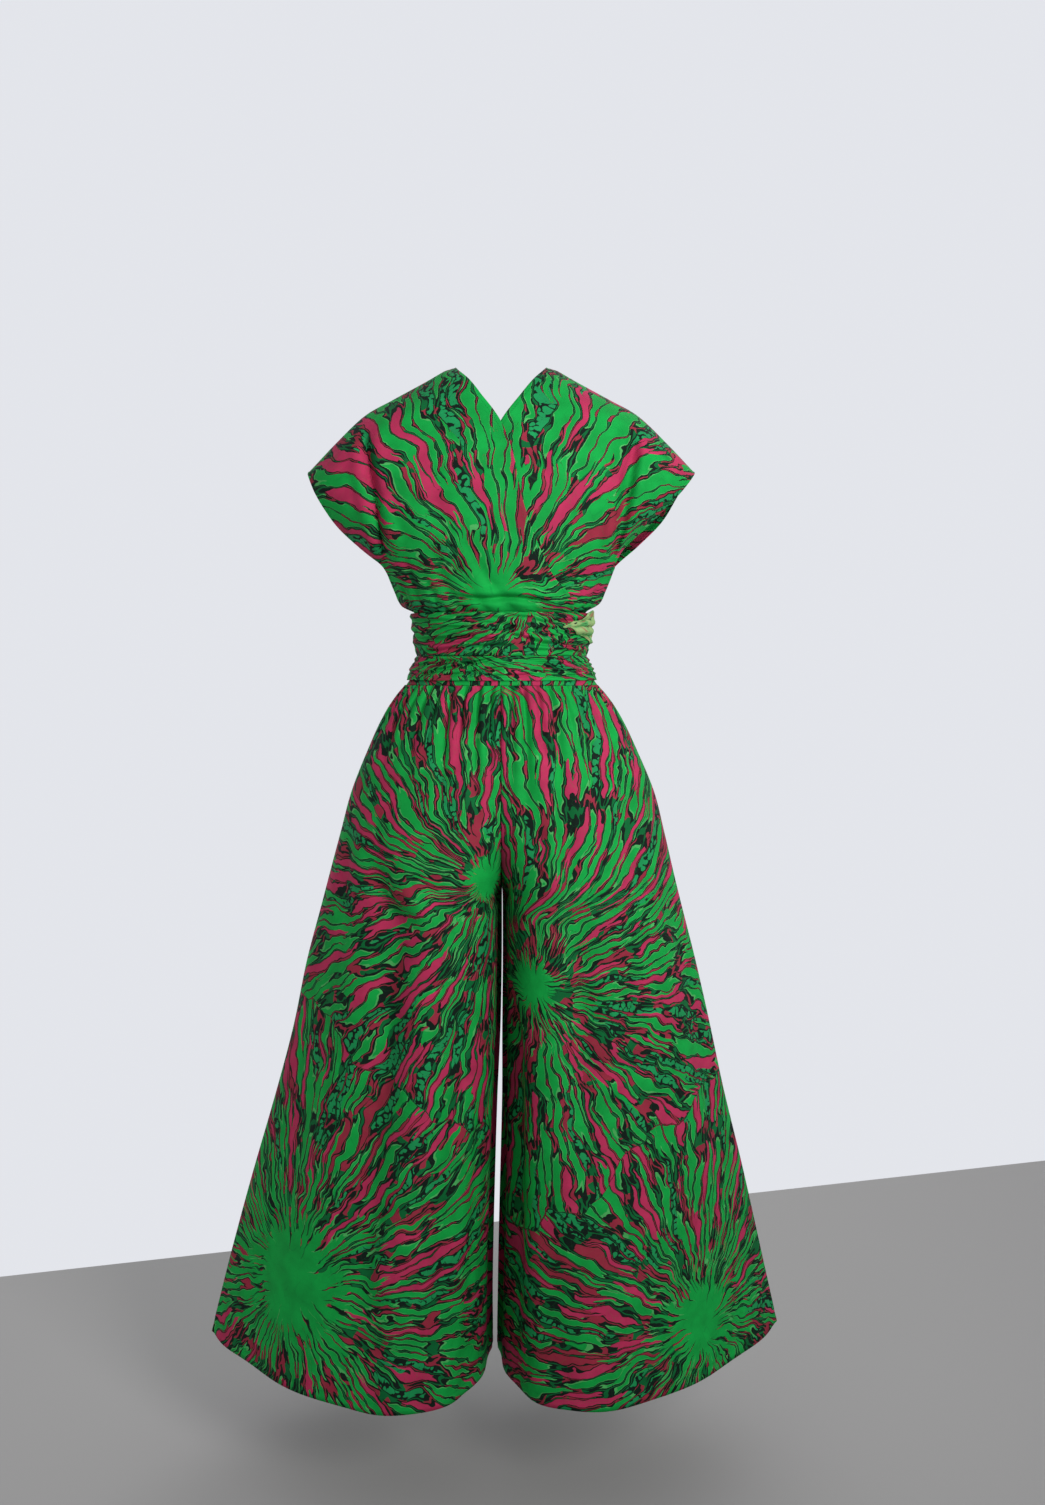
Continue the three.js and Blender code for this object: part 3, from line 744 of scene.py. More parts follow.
def ray_cells(board, offset, radius, lead, cut, lot):
    """The rays round a burst, as rows of long cells that branch at rings.

    Gives the distance from a cell's edge, a number from 0 to 1 for each cell, and how far each
    ray is shifted along itself, which gives the cells long pointed ends."""
    # Rings at which the rays branch, each about twice as far out as the one before.
    sideways = board.add("ShaderNodeSeparateXYZ", {0: offset})
    upwards = board.add("ShaderNodeSeparateXYZ", {0: offset}, output=1)
    turn = board.math("ARCTAN2", upwards, sideways)
    detail, share = PRINT["ragged_ring"]
    heading = board.scaled(board.vector("NORMALIZE", offset), detail)
    ragged = board.math("SUBTRACT", board.noise(heading, 1.0, 2.0), 0.5)
    reach = board.math("MULTIPLY", radius, board.math("MULTIPLY_ADD", ragged, share, 1.0))
    ring = board.math("LOGARITHM", board.math("DIVIDE", reach, PRINT["first_ring"]), 2.0)
    ring = board.math("MAXIMUM", ring, -0.5)
    level = board.math("MAXIMUM", board.math("CEIL", ring), 0.0)
    crowd = board.math("POWER", PRINT["branching"], level)
    crowd = board.math("MULTIPLY", crowd, PRINT["first_rays"] * cut["crowding"])
    in_ring = board.math("ABSOLUTE", board.math("SUBTRACT", ring, board.math("ROUND", ring)))
    in_ring = board.math("MULTIPLY", in_ring, radius)
    to_ring = board.math("MULTIPLY", in_ring, PRINT["ring_line"] * math.log(2))

    # The cells, counted round the burst and outwards.
    around = board.math("MULTIPLY_ADD", turn, crowd, SHIFTS["round"] * lot)
    detail, shift = PRINT["stagger"]
    stagger = board.noise(board.add("ShaderNodeCombineXYZ", {"X": around, "Y": level}), detail)
    outwards = board.math("DIVIDE", radius, cut["ray_length"])
    outwards = board.math("MULTIPLY_ADD", level, SHIFTS["ring"], outwards)
    outwards = board.math("MULTIPLY_ADD", stagger, shift, outwards)
    ray = board.add("ShaderNodeCombineXYZ", {"X": around, "Y": outwards})
    cells = {"Vector": ray, "Scale": 1.0, "Randomness": PRINT["ray_spread"]}
    edge = board.add("ShaderNodeTexVoronoi", cells, voronoi_dimensions="2D", feature="DISTANCE_TO_EDGE")
    cell_color = board.add("ShaderNodeTexVoronoi", cells, output=1, voronoi_dimensions="2D")
    across = board.math("MULTIPLY", edge, board.math("DIVIDE", radius, crowd))
    across = board.math("MINIMUM", across, to_ring)
    across = board.math("MINIMUM", across, board.math("MULTIPLY", lead, PRINT["border_line"]))
    pick = board.add("ShaderNodeSeparateColor", {0: cell_color})
    return across, pick, stagger


def plain_heart(board, radius, size, pick, stagger):
    """A burst's plain green heart, into which the lines thin out to points.

    Gives how far the lines have opened, from 0 to 1, and the picks with green in the heart."""
    spike = board.math("MULTIPLY_ADD", stagger, *PRINT["spike"])
    inward = board.math("DIVIDE", board.math("DIVIDE", radius, size), spike)
    opening = board.step(inward, *PRINT["heart_rim"])
    in_heart = board.math("LESS_THAN", inward, board.math("MULTIPLY_ADD", pick, *PRINT["heart_green"]))
    return opening, board.math("MULTIPLY", pick, board.math("SUBTRACT", 1.0, in_heart))


def ray_color(board, point, bolt, across, pick, opening, tones):
    """Colour of each ray, then the pale line, the outline and the dark sliver beside it."""
    bubbles = board.add("ShaderNodeTexVoronoi", {"Vector": point, "Scale": 1 / PRINT["bubble"]})
    surround = board.step(bubbles, *PRINT["bubble_rim"])
    tones = {**tones, "dotted": board.blend_color(surround, tones["bubble"], tones["line"])}
    color = tones["green"]
    for row, following in zip(RAY_TONES, RAY_TONES[1:]):
        past = board.math("GREATER_THAN", pick, row["up_to"])
        color = board.blend_color(past, color, tones[following["tone"]])
    is_green = board.math("LESS_THAN", pick, RAY_TONES[0]["up_to"])

    narrowest, widest = PRINT["sliver"]
    thick = board.step(board.noise(bolt, PRINT["sliver_patches"]), 0.48, 0.72)
    thick = board.math("MULTIPLY", thick, widest)
    thick = board.math("MULTIPLY", board.math("MAXIMUM", thick, narrowest), opening)
    outline = board.math("MULTIPLY", opening, PRINT["outline"])
    outer = board.math("ADD", thick, outline)
    pale = board.math("LESS_THAN", across, board.math("ADD", outer, PRINT["pale_line"]))
    pale = board.math("MULTIPLY", pale, is_green)
    pale = board.math("MULTIPLY", pale, board.math("MULTIPLY", opening, PRINT["pale_share"]))
    color = board.blend_color(pale, color, tones["pale"])
    color = board.blend_color(board.math("LESS_THAN", across, outer), color, tones["line"])
    patch = board.math("GREATER_THAN", board.noise(bolt, PRINT["sliver_colors"]), 0.5)
    sliver = board.blend_color(patch, tones["maroon"], tones["leaf"])
    return board.blend_color(board.math("LESS_THAN", across, thick), color, sliver)


def uneven_dye(board, point, bolt, color, tones):
    """The print with uneven dye, and the faint veins that cracked wax leaves. Gives the dye too."""
    dye = board.noise(bolt, DYE["patches"], 3.0)
    shade = board.add("ShaderNodeMapRange", {
        "Value": dye, "From Min": 0.3, "From Max": 0.7, "To Min": DYE["weak"], "To Max": DYE["strong"]})
    color = board.add("ShaderNodeMix", {0: 1.0, 6: color, 7: shade}, output=2, data_type="RGBA",
                      blend_type="MULTIPLY")
    crack = board.add("ShaderNodeTexVoronoi", {"Vector": point, "Scale": VEINS["cells"]},
                      feature="DISTANCE_TO_EDGE")
    vein = board.math("SUBTRACT", 1.0, board.step(crack, 0.0, VEINS["width"]))
    vein = board.math("MULTIPLY", vein, VEINS["strength"])
    return board.blend_color(vein, color, tones["leaf"]), dye


def threads(board, cloth, direction, slub):
    """Threads of a plain weave, side by side in one direction of the cloth."""
    waves = {"Vector": cloth, "Scale": 2 * math.pi / (20 * WEAVE["pitch"]), "Distortion": slub}
    return board.add("ShaderNodeTexWave", waves, bands_direction=direction, output=1)


def plain_weave(board, cloth):
    """Relief of warp and weft threads, with a little slub and crispness."""
    warp = threads(board, cloth, "X", WEAVE["slub"])
    weft = threads(board, cloth, "Y", WEAVE["slub"])
    weave = board.math("MULTIPLY", board.math("ADD", warp, weft), 0.5)
    crisp = board.noise(cloth, WEAVE["crisp"], 2.0)
    relief = board.math("MULTIPLY_ADD", crisp, WEAVE["crispness"], weave)
    return board.add("ShaderNodeBump", {"Height": relief, "Strength": 0.22, "Distance": WEAVE["relief"]})


def wax_print(name, centres, settings, cut, lot):
    """Crisp cotton printed with bursts of green and pink rays outlined in black."""
    material, board = blank_material(name)
    tones = {tone: (*getattr(settings, tone), 1) for tone in ("green", "pink", "line")} | DYED_TONES
    cloth = board.add("ShaderNodeUVMap", uv_map="cloth")
    bolt = board.vector("ADD", cloth, (*(shift * lot for shift in SHIFTS["bolt"]), 0.0))
    point = wandering(board, cloth, bolt)
    offset, radius, lead, size = nearest_burst(board, point, centres)
    across, pick, stagger = ray_cells(board, offset, radius, lead, cut, lot)
    opening, pick = plain_heart(board, radius, size, pick, stagger)
    color = ray_color(board, point, bolt, across, pick, opening, tones)
    color, dye = uneven_dye(board, point, bolt, color, tones)
    bump = plain_weave(board, cloth)
    rough = board.add("ShaderNodeMapRange", {"Value": dye, "To Min": 0.62, "To Max": 0.82})
    board.add_output(board.add("ShaderNodeBsdfPrincipled", {
        "Base Color": color, "Roughness": rough, "Normal": bump, "Specular IOR Level": 0.08}))
    return material


def cotton_thread(name, settings):
    """Twisted sewing thread, a little uneven in colour."""
    if name in bpy.data.materials:
        return bpy.data.materials[name]
    material, board = blank_material(name)
    place = board.add("ShaderNodeTexCoord", output=3)
    uneven = board.noise(place, 900.0, 2.0)
    dark = tuple(0.6 * part for part in settings.thread)
    color = board.blend_color(uneven, (*dark, 1), (*settings.thread, 1))
    twist = board.add("ShaderNodeTexWave", {"Vector": place, "Scale": 1800.0},
                      bands_direction="DIAGONAL", output=1)
    bump = board.add("ShaderNodeBump", {"Height": twist, "Strength": 0.4, "Distance": 0.0001})
    board.add_output(board.add("ShaderNodeBsdfPrincipled", {
        "Base Color": color, "Roughness": 0.7, "Normal": bump, "Specular IOR Level": 0.15}))
    return material


# Colours of the selvedge, and the stretch that turns noise into streaks along it.
SELVEDGE = {
    "pale": (0.31, 0.46, 0.18, 1),
    "green": (0.08, 0.34, 0.10, 1),
    "rust": (0.36, 0.12, 0.08, 1),
    "bleed": 55.0,
    "streaks": (26.0, 150.0, 0.0),
    "slub": 0.8,
}


def selvedge_cotton(name, settings):
    """The plain woven edge of the cloth, where the dye is pale and a few lines of print bleed in."""
    material, board = blank_material(name)
    cloth = board.add("ShaderNodeUVMap", uv_map="cloth")
    bleed = board.step(board.noise(cloth, SELVEDGE["bleed"], 2.0), 0.42, 0.66)
    color = board.blend_color(bleed, SELVEDGE["pale"], SELVEDGE["green"])
    stretched = board.vector("MULTIPLY", cloth, SELVEDGE["streaks"])
    streak = board.step(board.noise(stretched, 1.0, 2.0), 0.56, 0.66)
    color = board.blend_color(board.math("MULTIPLY", streak, 0.75), color, SELVEDGE["rust"])
    edge = board.step(board.noise(stretched, 2.2), 0.64, 0.70)
    color = board.blend_color(edge, color, (*settings.line, 1))
    weft = threads(board, cloth, "Y", SELVEDGE["slub"])
    bump = board.add("ShaderNodeBump", {"Height": weft, "Strength": 0.3, "Distance": 0.00015})
    board.add_output(board.add("ShaderNodeBsdfPrincipled", {
        "Base Color": color, "Roughness": 0.8, "Normal": bump, "Specular IOR Level": 0.1}))
    return material


# ---------------------------------------------------------------- cloth sheets
WELD = 0.00001             # metres within which the two ends of a closed sheet are one


def mesh_object(name, bm):
    """Turns a bmesh into an object of the scene."""
    mesh = bpy.data.meshes.new(name)
    bm.to_mesh(mesh)
    bm.free()
    piece = bpy.data.objects.new(name, mesh)
    bpy.context.scene.collection.objects.link(piece)
    return piece


def thicken(piece):
    """Gives a sheet its wall, on the inside."""
    wall = piece.modifiers.new("thickness", "SOLIDIFY")
    wall.thickness = bpy.context.scene.jumpsuit_sizes.cloth_thickness
    wall.offset = -1


class Cloth:
    """A sheet of cloth from a flat grid, with its flat pattern as a UV map in metres.

    place(across, along) gives each point in millimetres, for shares from 0 to 1. A turned sheet
    has its faces flipped, a closed one meets itself, and a pleated one is so many times longer
    when it lies flat."""

    def __init__(self, name, columns, rows, place, turned=False, closed=False, pleated=1.0):
        self.name = name
        self.columns, self.rows = columns, rows
        self.turned, self.closed = turned, closed
        self.pleated = pleated
        self.points = [[place(c / columns, r / rows) for c in range(columns + 1)] for r in range(rows + 1)]
        self.flat = self.flatten()
        self.piece = self.make()

    def flatten(self):
        """Flat pattern: lengths across from the middle column, and down the middle column."""
        middle = self.columns // 2
        flat, down = [], 0.0
        for r, row in enumerate(self.points):
            if r:
                down += (row[middle] - self.points[r - 1][middle]).length
            lengths = [0.0]
            for c in range(1, len(row)):
                lengths.append(lengths[-1] + (row[c] - row[c - 1]).length)
            flat.append([((length - lengths[middle]) * MM, down * self.pleated * MM) for length in lengths])
        return flat

    def make(self):
        """The grid's mesh, with each corner at its place and its spot on the flat pattern."""
        bm = bmesh.new()
        bmesh.ops.create_grid(bm, x_segments=self.columns, y_segments=self.rows, size=0.5)
        pattern = bm.loops.layers.uv.new("cloth")
        spots = {vert: (round((vert.co.x + 0.5) * self.columns), round((vert.co.y + 0.5) * self.rows))
                 for vert in bm.verts}
        for face in bm.faces:
            for loop in face.loops:
                column, row = spots[loop.vert]
                loop[pattern].uv = self.flat[row][column]
            face.smooth = True
        for vert, (column, row) in spots.items():
            vert.co = self.points[row][column] * MM
        if self.closed:
            bmesh.ops.remove_doubles(bm, verts=bm.verts, dist=WELD)
        if self.turned:
            bmesh.ops.reverse_faces(bm, faces=bm.faces)
        return mesh_object(self.name, bm)

    def normal(self, row, column):
        """Outward direction at a grid point."""
        c0, c1 = max(column - 1, 0), min(column + 1, self.columns)
        r0, r1 = max(row - 1, 0), min(row + 1, self.rows)
        across = self.points[row][c1] - self.points[row][c0]
        along = self.points[r1][column] - self.points[r0][column]
        return across.cross(along).normalized() * (-1 if self.turned else 1)

    def flat_at(self, x, z, facing):
        """Where on the flat pattern the cloth's point nearest to a place on the body lies."""
        side = -1 if facing == "back" else 1
        _, r, c = min(((p.x - x) ** 2 + (p.z - z) ** 2, r, c)
                      for r, row in enumerate(self.points) for c, p in enumerate(row) if p.y * side >= -1)
        u, v = self.flat[r][c]
        point = self.points[r][c]
        return (u + (x - point.x) * MM, v + (z - point.z) * MM)


def edge_line(cloth, distance, first):
    """Places and normals along a cloth's first or last column, at a distance in from its edge."""
    line = []
    order = range(cloth.columns + 1) if first else range(cloth.columns, -1, -1)
    for r, row in enumerate(cloth.points):
        walked, before = 0.0, None
        for c in order:
            if before is not None:
                step = (row[c] - row[before]).length
                if walked + step >= distance:
                    share = (distance - walked) / step
                    line.append((row[before].lerp(row[c], share), cloth.normal(r, c)))
                    break
                walked += step
            before = c
    return line


def row_line(cloth, row):
    """Places and normals along one of a cloth's rows."""
    return [(point, cloth.normal(row, c)) for c, point in enumerate(cloth.points[row])]


# Share of the stitch length that a stitch fills, its radius, and how far it stands off the cloth.
STITCH = {"share": 0.72, "radius": 0.26, "proud": 0.12}


def add_stitch(bm, spot, ahead, normal, pitch):
    """A slim pointed thread of eight faces."""
    aside = ahead.cross(normal).normalized()
    half, radius = ahead * pitch * STITCH["share"] / 2, STITCH["radius"]
    back, front = [bm.verts.new((spot + way * half) * MM) for way in (-1, 1)]
    ring = [bm.verts.new((spot + turn * radius) * MM) for turn in (aside, normal, -aside, -normal)]
    for here, there in zip(ring, ring[1:] + ring[:1]):
        bm.faces.new((front, here, there))
        bm.faces.new((back, there, here))


def sew(name, lines):
    """A run of small stitches along each line of places and normals."""
    pitch = bpy.context.scene.jumpsuit_sizes.stitch_length / MM
    bm = bmesh.new()
    for line in lines:
        walked, due = 0.0, pitch / 2
        for (start, normal), (end, _) in zip(line, line[1:]):
            step = (end - start).length
            while step > 0 and walked + step >= due:
                spot = start.lerp(end, (due - walked) / step) + normal * STITCH["proud"]
                add_stitch(bm, spot, (end - start).normalized(), normal, pitch)
                due += pitch
            walked += step
    bmesh.ops.recalc_face_normals(bm, faces=bm.faces)
    piece = mesh_object(name, bm)
    piece.data.materials.append(cotton_thread("cotton thread", bpy.context.scene.jumpsuit_print))
    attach(piece, BODY)
    return piece


def finish_cloth(cloth, node, flat, seams=()):
    """Gives a cloth its thickness, print and stitching, hangs it on the body and hides the frame's part that
    it stands for.
    """
    piece = cloth.piece
    with_pieces = [sew(f"{node}_stitches", seams)] if seams else []
    thicken(piece)
    centres = [(*cloth.flat_at(spot["x"], spot["z"], spot["facing"]), spot["size"] * MM)
               for spot in BURSTS[node]]
    kind, lot = node.split("_")[0], list(BURSTS).index(node)
    material = wax_print(f"wax print {node.replace('_', ' ')}", centres,
                         bpy.context.scene.jumpsuit_print, CUT[kind], lot)
    piece.data.materials.append(material)
    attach(piece, BODY)
    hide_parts(node)


# ---------------------------------------------------------------- settings
class JumpsuitSizes(bpy.types.PropertyGroup):
    """Sizes that a maker would change."""

    cloth_thickness: bpy.props.FloatProperty(
        name="Cloth thickness", description="Thickness of one layer of cotton", default=0.0008,
        min=0.0003, max=0.0015, unit="LENGTH", precision=5)
    hem_width: bpy.props.FloatProperty(
        name="Hem width", description="Depth of the turned hem at the foot of each leg", default=0.014,
        min=0.004, max=0.04, unit="LENGTH", precision=4)
    stitch_length: bpy.props.FloatProperty(
        name="Stitch length", description="From one stitch to the next", default=0.0032,
        min=0.0015, max=0.006, unit="LENGTH", precision=4)


class JumpsuitPrint(bpy.types.PropertyGroup):
    """Colours of the print."""

    green: bpy.props.FloatVectorProperty(
        name="Green", description="Ground colour of the print", subtype="COLOR",
        default=(0.006, 0.34, 0.055), min=0, max=1)
    pink: bpy.props.FloatVectorProperty(
        name="Pink", description="Colour of the pink rays", subtype="COLOR",
        default=(0.46, 0.030, 0.095), min=0, max=1)
    line: bpy.props.FloatVectorProperty(
        name="Outline", description="Colour of the outlines round the rays", subtype="COLOR",
        default=(0.006, 0.014, 0.010), min=0, max=1)
    thread: bpy.props.FloatVectorProperty(
        name="Thread", description="Colour of the sewing thread", subtype="COLOR",
        default=(0.01, 0.16, 0.045), min=0, max=1)


# ---------------------------------------------------------------- pieces
class MakeStraps(bpy.types.Operator):
    """Make the two straps that cross on the bodice and fold over the shoulders."""

    bl_idname = "jumpsuit.make_straps"
    bl_label = "Straps"

    columns = 84
    rows = 260
    hem_crowding = 0.075
    normal_steps = (0.02, 0.006)
    straps = table("node side layers drawn_in", [("strap_left", -1, 1, 0), ("strap_right", 1, 0, 1)])

    def execute(self, context):
        for strap in self.straps:
            cloth = Cloth(f"{strap['node']}_cloth", self.columns, self.rows, self.placer(strap),
                          turned=strap["side"] < 0)
            edges = [edge_line(cloth, HEM_STITCHES, first) for first in (True, False)]
            finish_cloth(cloth, strap["node"], flat=(0.28, 0.88), seams=edges)
        return {"FINISHED"}

    def placer(self, strap):
        """Gives the place of every point of one strap."""
        def place(column_share, along):
            # Columns lie closer together along the hems.
            across = column_share - self.hem_crowding * math.sin(2 * math.pi * column_share)
            v = along * 2 - 1
            inside = (clamp(across, 0.02, 0.98), clamp(v, -0.99, 0.99))
            normal = normal_at(strap_point, *inside, *self.normal_steps)
            out = strap["layers"] * layer_lift(abs(v)) + strap_relief(across, v)
            point = strap_point(across, v) + normal * out
            if v < 0:
                drawn_in = strap["drawn_in"] * read(DRAWN_IN, "down", -v, "by")
                point.x -= drawn_in * smooth(across, DRAWN_IN_FROM, 1)
            point.z -= PEAK["drop"] * dip(across, PEAK["across"]) * dip(v, PEAK["along"])
            point.x *= strap["side"]
            return tilt_waist(point)
        return place


SASH_PLEATING = 1.6        # how many times wider the strap is than the wrap that it is pleated into


class MakeSash(bpy.types.Operator):
    """Wind the pleated ends of the straps round the waist as two wraps."""

    bl_idname = "jumpsuit.make_sash"
    bl_label = "Sash"

    columns = 300
    wraps = table("node outline creases rows flat", [
        ("sash_upper", UPPER_WRAP, UPPER_CREASES, 56, (0.74, 0.07)),
        ("sash_lower", LOWER_WRAP, LOWER_CREASES, 40, (0.76, 0.045)),
    ])

    def execute(self, context):
        for wrap in self.wraps:
            cloth = Cloth(f"{wrap['node']}_cloth", self.columns, wrap["rows"], band_placer(wrap),
                          closed=True, pleated=SASH_PLEATING)
            finish_cloth(cloth, wrap["node"], flat=wrap["flat"])
        return {"FINISHED"}


def band_placer(wrap):
    """Gives the place of every point of a band round the waist."""
    outline = wrap["outline"]
    low, high = outline[-1]["z"], outline[0]["z"]

    def place(across, along):
        return tilt_waist(band_point(outline, wrap["creases"], across, lerp(low, high, along)))
    return place


class MakeSelvedge(bpy.types.Operator):
    """Make the turned corner of the strap's plain selvedge that shows on the sash."""

    bl_idname = "jumpsuit.make_selvedge"
    bl_label = "Selvedge"

    columns = 60
    rows = 26
    angles = (41, 132)         # where it starts and ends, by degrees from the centre back
    heights = (-346, -340)
    widest = 21                # half of its width where it is widest
    narrowest = 0.4
    widens = (-0.02, 0.42)     # over which share of its length it widens, and then narrows
    narrows = (0.55, 1.02)
    edges = (-1.1, 0.9)        # it hangs a little below its middle line
    proud = 2.2                # how far it stands off the sash
    crinkles = table("depth along across", [(0.55, 19, 5), (0.35, 7, -31)])
    normal_steps = (0.002, 0.6)

    def execute(self, context):
        cloth = Cloth("sash_selvedge_cloth", self.columns, self.rows, self.place)
        thicken(cloth.piece)
        cloth.piece.data.materials.append(selvedge_cotton("selvedge cotton", context.scene.jumpsuit_print))
        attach(cloth.piece, BODY)
        return {"FINISHED"}

    def place(self, across, along):
        """A slim leaf of cloth, widest where it turns round the side."""
        u = (lerp(*self.angles, across) + 180) / 360
        spread = self.widest * smooth(across, *self.widens) * (1 - smooth(across, *self.narrows))
        spread += self.narrowest
        z = lerp(*self.heights, across) + spread * lerp(*self.edges, along)

        def surface(a, b):
            return band_point(UPPER_WRAP, UPPER_CREASES, a, b)

        coarse, fine = [row["depth"] * math.sin(along * row["along"] + across * row["across"])
                        for row in self.crinkles]
        out = self.proud + (coarse * math.sin(math.pi * across) + fine)
        return tilt_waist(surface(u, z) + normal_at(surface, u, z, *self.normal_steps) * out)


class MakeWaistband(bpy.types.Operator):
    """Make the waistband that the trousers are gathered onto, under the sash."""

    bl_idname = "jumpsuit.make_waistband"
    bl_label = "Waistband"

    columns = 160
    rows = 16
    wrap = {"outline": WAISTBAND, "creases": []}

    def execute(self, context):
        cloth = Cloth("waistband_cloth", self.columns, self.rows, band_placer(self.wrap), closed=True)
        finish_cloth(cloth, "waistband", flat=(0.74, 0.042))
        return {"FINISHED"}


class MakeTrousers(bpy.types.Operator):
    """Make the four gathered trouser panels."""

    bl_idname = "jumpsuit.make_trousers"
    bl_label = "Trousers"

    columns = 170
    rows = 190
    normal_steps = (0.01, 1)

    def execute(self, context):
        hem = context.scene.jumpsuit_sizes.hem_width / MM
        for side_name in ("left", "right"):
            for facing in ("back", "front"):
                turned = (side_name == "left") == (facing == "front")
                node = f"trouser_{side_name}_{facing}"
                place = self.placer(side_name, facing, hem)
                cloth = Cloth(f"{node}_cloth", self.columns, self.rows, place, turned=turned)
                heights = [row[self.columns // 2].z for row in cloth.points]
                hem_row = min(range(self.rows), key=lambda r: abs(heights[r] - heights[0] - hem))
                finish_cloth(cloth, node, flat=(0.56, 0.99),
                             seams=[row_line(cloth, hem_row)])
        return {"FINISHED"}

    def placer(self, side_name, facing, hem):
        """Gives the place of every point of one panel, whose hem is so many millimetres wide."""
        side = -1 if side_name == "left" else 1
        face = -1 if facing == "back" else 1

        def surface(u, z):
            return panel_point(u, z, side_name, facing)

        def place(across, along):
            # Rows lie closer together where the gathers are.
            down = (1 - along) ** ROW_CROWDING
            z = lerp(WAIST_SEAM - SEAM, HEM, down)
            inside = (clamp(across, 0.01, 0.99), clamp(z, HEM + 1, WAIST_SEAM - 1))
            normal = normal_at(surface, *inside, *self.normal_steps)
            above_hem = z - HEM
            out = panel_relief(across, z, side_name, facing)
            out -= HEM_GROOVE["depth"] * dip(above_hem - hem, HEM_GROOVE["width"])
            wave = HEM_WAVE["depth"] * math.sin(across * HEM_WAVE["waves"] + HEM_WAVE["shift"] * side)
            wave *= 1 - smooth(above_hem, 0, HEM_WAVE["height"])
            wave *= smooth(across, 0, HEM_WAVE["edges"][0])
            out += wave * (1 - smooth(across, HEM_WAVE["edges"][1], 1))
            point = surface(across, z) + normal * out
            low = smooth(-z, LOW_FROM, -HEM)
            point.x = side * max(point.x, SEAM / 2) + LEAN * low
            point.y = face * max(point.y, SEAM / 2)
            point.z = z + HEM_LIFT[side_name] * low * (1 - across) ** HEM_LIFT_CURVE
            return tilt_waist(point)
        return place


# ---------------------------------------------------------------- stage
CAMERA = {"x": 0.028, "y": -2.283, "height_over_neck": -0.111, "pitch": math.radians(10.09)}
PICTURE = {"height": 1505, "focal_pixels": 1700}
# The floor ends at far_left and far_right, measured at one metre to each side of the garment.
FLOOR = {"height": -1.5465, "near": -6, "side": 7, "far_left": 0.48, "far_right": 0.98, "measured_at": 1.0}
LIGHTS = table("name place aim size energy spread", [
    ("key", (1.15, -1.9, 0.3), (0.08, 0, -0.22), 0.9, 11, 84),
    ("fill", (-2.0, -1.7, -0.1), (0, 0, -0.7), 2.0, 5, 180),
    ("back", (0.6, 2.2, 1.2), (0, 0, -0.6), 2.0, 12, 180),
])
WORLD = {"behind": (0.77, 0.785, 0.83, 1), "before": (0.36, 0.365, 0.38, 1), "turns": (-0.3, 0.35)}


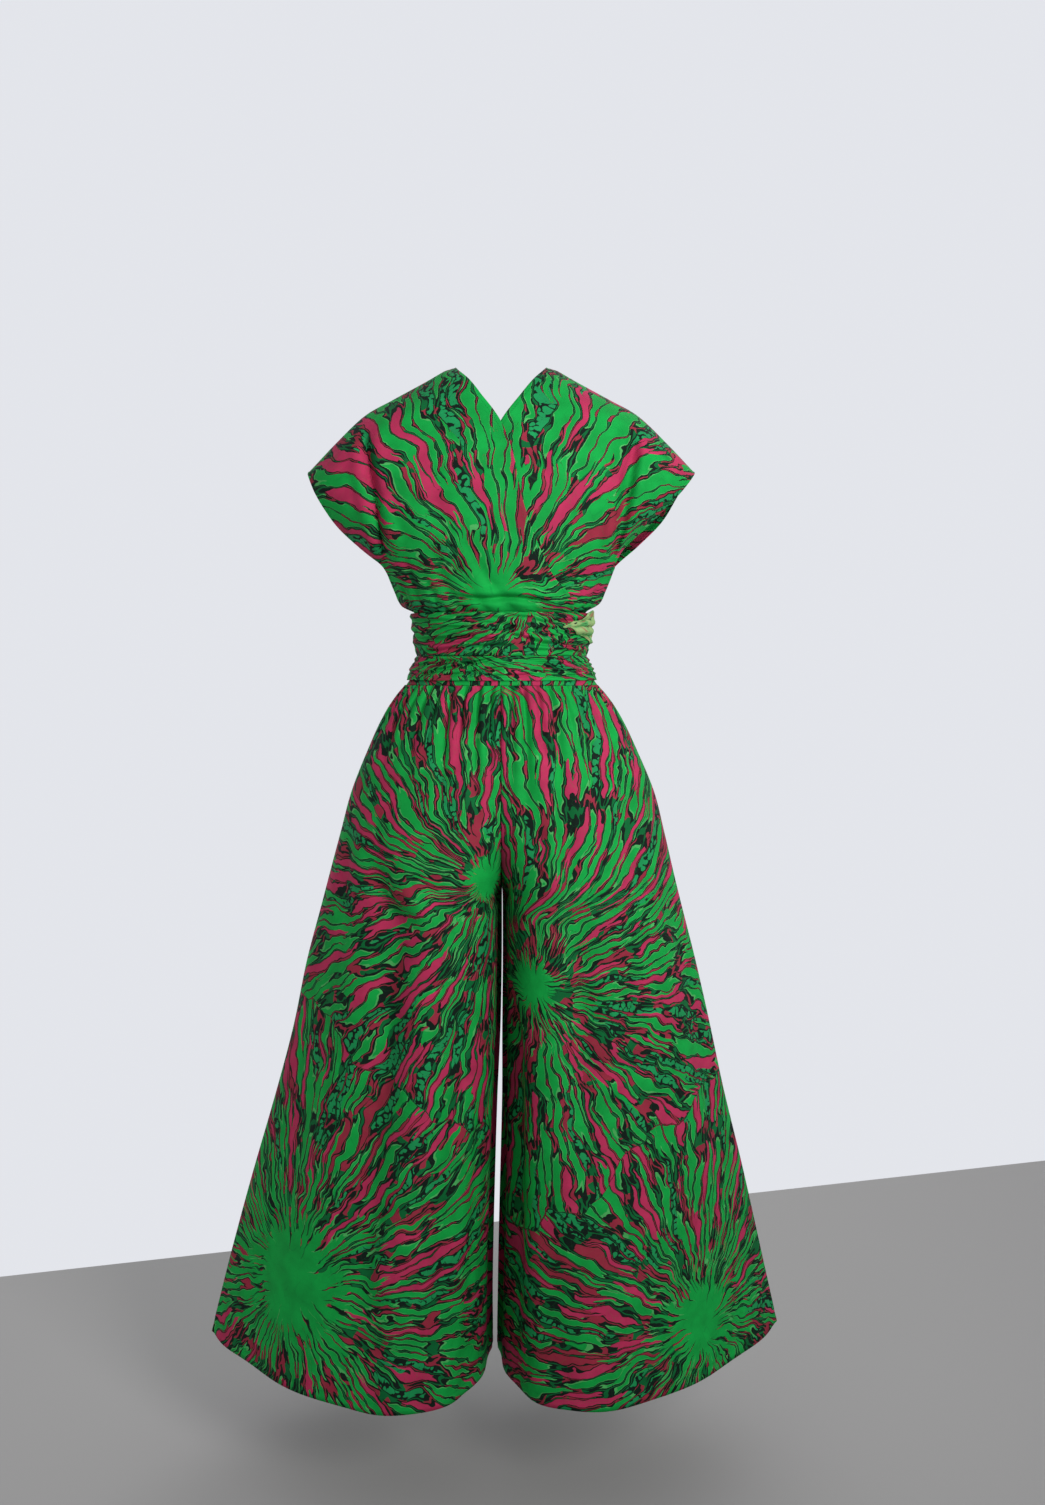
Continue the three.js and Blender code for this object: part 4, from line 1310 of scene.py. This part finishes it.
class MakeStage(bpy.types.Operator):
    """Set up the floor, the soft lights and the camera."""

    bl_idname = "jumpsuit.make_stage"
    bl_label = "Stage"

    def execute(self, context):
        self.floor(context)
        self.world(context)
        for light in LIGHTS:
            self.light(context, light)
        self.camera(context)
        return {"FINISHED"}

    def floor(self, context):
        """A floor that ends behind the garment on a slightly slanted line."""
        side, height = FLOOR["side"], FLOOR["height"]
        middle = (FLOOR["far_left"] + FLOOR["far_right"]) / 2
        slant = (FLOOR["far_right"] - FLOOR["far_left"]) / (2 * FLOOR["measured_at"]) * side
        near = [(-side, FLOOR["near"]), (side, FLOOR["near"])]
        far = [(side, middle + slant), (-side, middle - slant)]
        bm = bmesh.new()
        bm.faces.new([bm.verts.new((x, y, height)) for x, y in near + far])
        floor = mesh_object("floor", bm)
        material = bpy.data.materials.new("pale floor")
        material.use_nodes = True
        shader = material.node_tree.nodes["Principled BSDF"]
        shader.inputs["Base Color"].default_value = (0.40, 0.39, 0.38, 1)
        shader.inputs["Roughness"].default_value = 0.9
        floor.data.materials.append(material)

    def world(self, context):
        world = bpy.data.worlds.new("soft room")
        world.use_nodes = True
        board = Board(world.node_tree)
        toward = board.add("ShaderNodeSeparateXYZ", {0: board.add("ShaderNodeTexCoord")}, output=1)
        share = board.step(toward, *WORLD["turns"])
        color = board.blend_color(share, WORLD["before"], WORLD["behind"])
        world.node_tree.links.new(color, world.node_tree.nodes["Background"].inputs["Color"])
        context.scene.world = world
        context.scene.view_settings.view_transform = "Standard"

    def light(self, context, row):
        data = bpy.data.lights.new(row["name"], "AREA")
        data.size = row["size"]
        data.energy = row["energy"]
        data.spread = math.radians(row["spread"])
        lamp = bpy.data.objects.new(row["name"], data)
        lamp.location = row["place"]
        lamp.rotation_euler = (Vector(row["aim"]) - Vector(row["place"])).to_track_quat("-Z", "Y").to_euler()
        context.scene.collection.objects.link(lamp)

    def camera(self, context):
        data = bpy.data.cameras.new("camera")
        data.sensor_fit = "VERTICAL"
        data.lens = data.sensor_height * PICTURE["focal_pixels"] / PICTURE["height"]
        camera = bpy.data.objects.new("camera", data)
        camera.location = (CAMERA["x"], CAMERA["y"], CAMERA["height_over_neck"])
        camera.rotation_euler = (math.pi / 2 - CAMERA["pitch"], 0, 0)
        context.scene.collection.objects.link(camera)
        context.scene.camera = camera


class JumpsuitPanel(bpy.types.Panel):
    """Lists the pieces and their settings."""

    bl_idname = "VIEW3D_PT_jumpsuit"
    bl_label = "Infinity Jumpsuit"
    bl_space_type = "VIEW_3D"
    bl_region_type = "UI"
    bl_category = "Jumpsuit"

    def draw(self, context):
        for operator in OPERATORS:
            self.layout.operator(operator.bl_idname)
        for settings in (context.scene.jumpsuit_sizes, context.scene.jumpsuit_print):
            for name in settings.__annotations__:
                self.layout.prop(settings, name)


OPERATORS = (MakeStraps, MakeSash, MakeSelvedge, MakeWaistband, MakeTrousers, MakeStage)
CLASSES = (JumpsuitSizes, JumpsuitPrint, *OPERATORS, JumpsuitPanel)


def register():
    for kind in CLASSES:
        bpy.utils.register_class(kind)
    bpy.types.Scene.jumpsuit_sizes = bpy.props.PointerProperty(type=JumpsuitSizes)
    bpy.types.Scene.jumpsuit_print = bpy.props.PointerProperty(type=JumpsuitPrint)


def unregister():
    del bpy.types.Scene.jumpsuit_sizes
    del bpy.types.Scene.jumpsuit_print
    for kind in reversed(CLASSES):
        bpy.utils.unregister_class(kind)


def main():
    register()
    bpy.ops.jumpsuit.make_straps()
    bpy.ops.jumpsuit.make_sash()
    bpy.ops.jumpsuit.make_selvedge()
    bpy.ops.jumpsuit.make_waistband()
    bpy.ops.jumpsuit.make_trousers()
    bpy.ops.jumpsuit.make_stage()


if __name__ == "__main__":
    main()
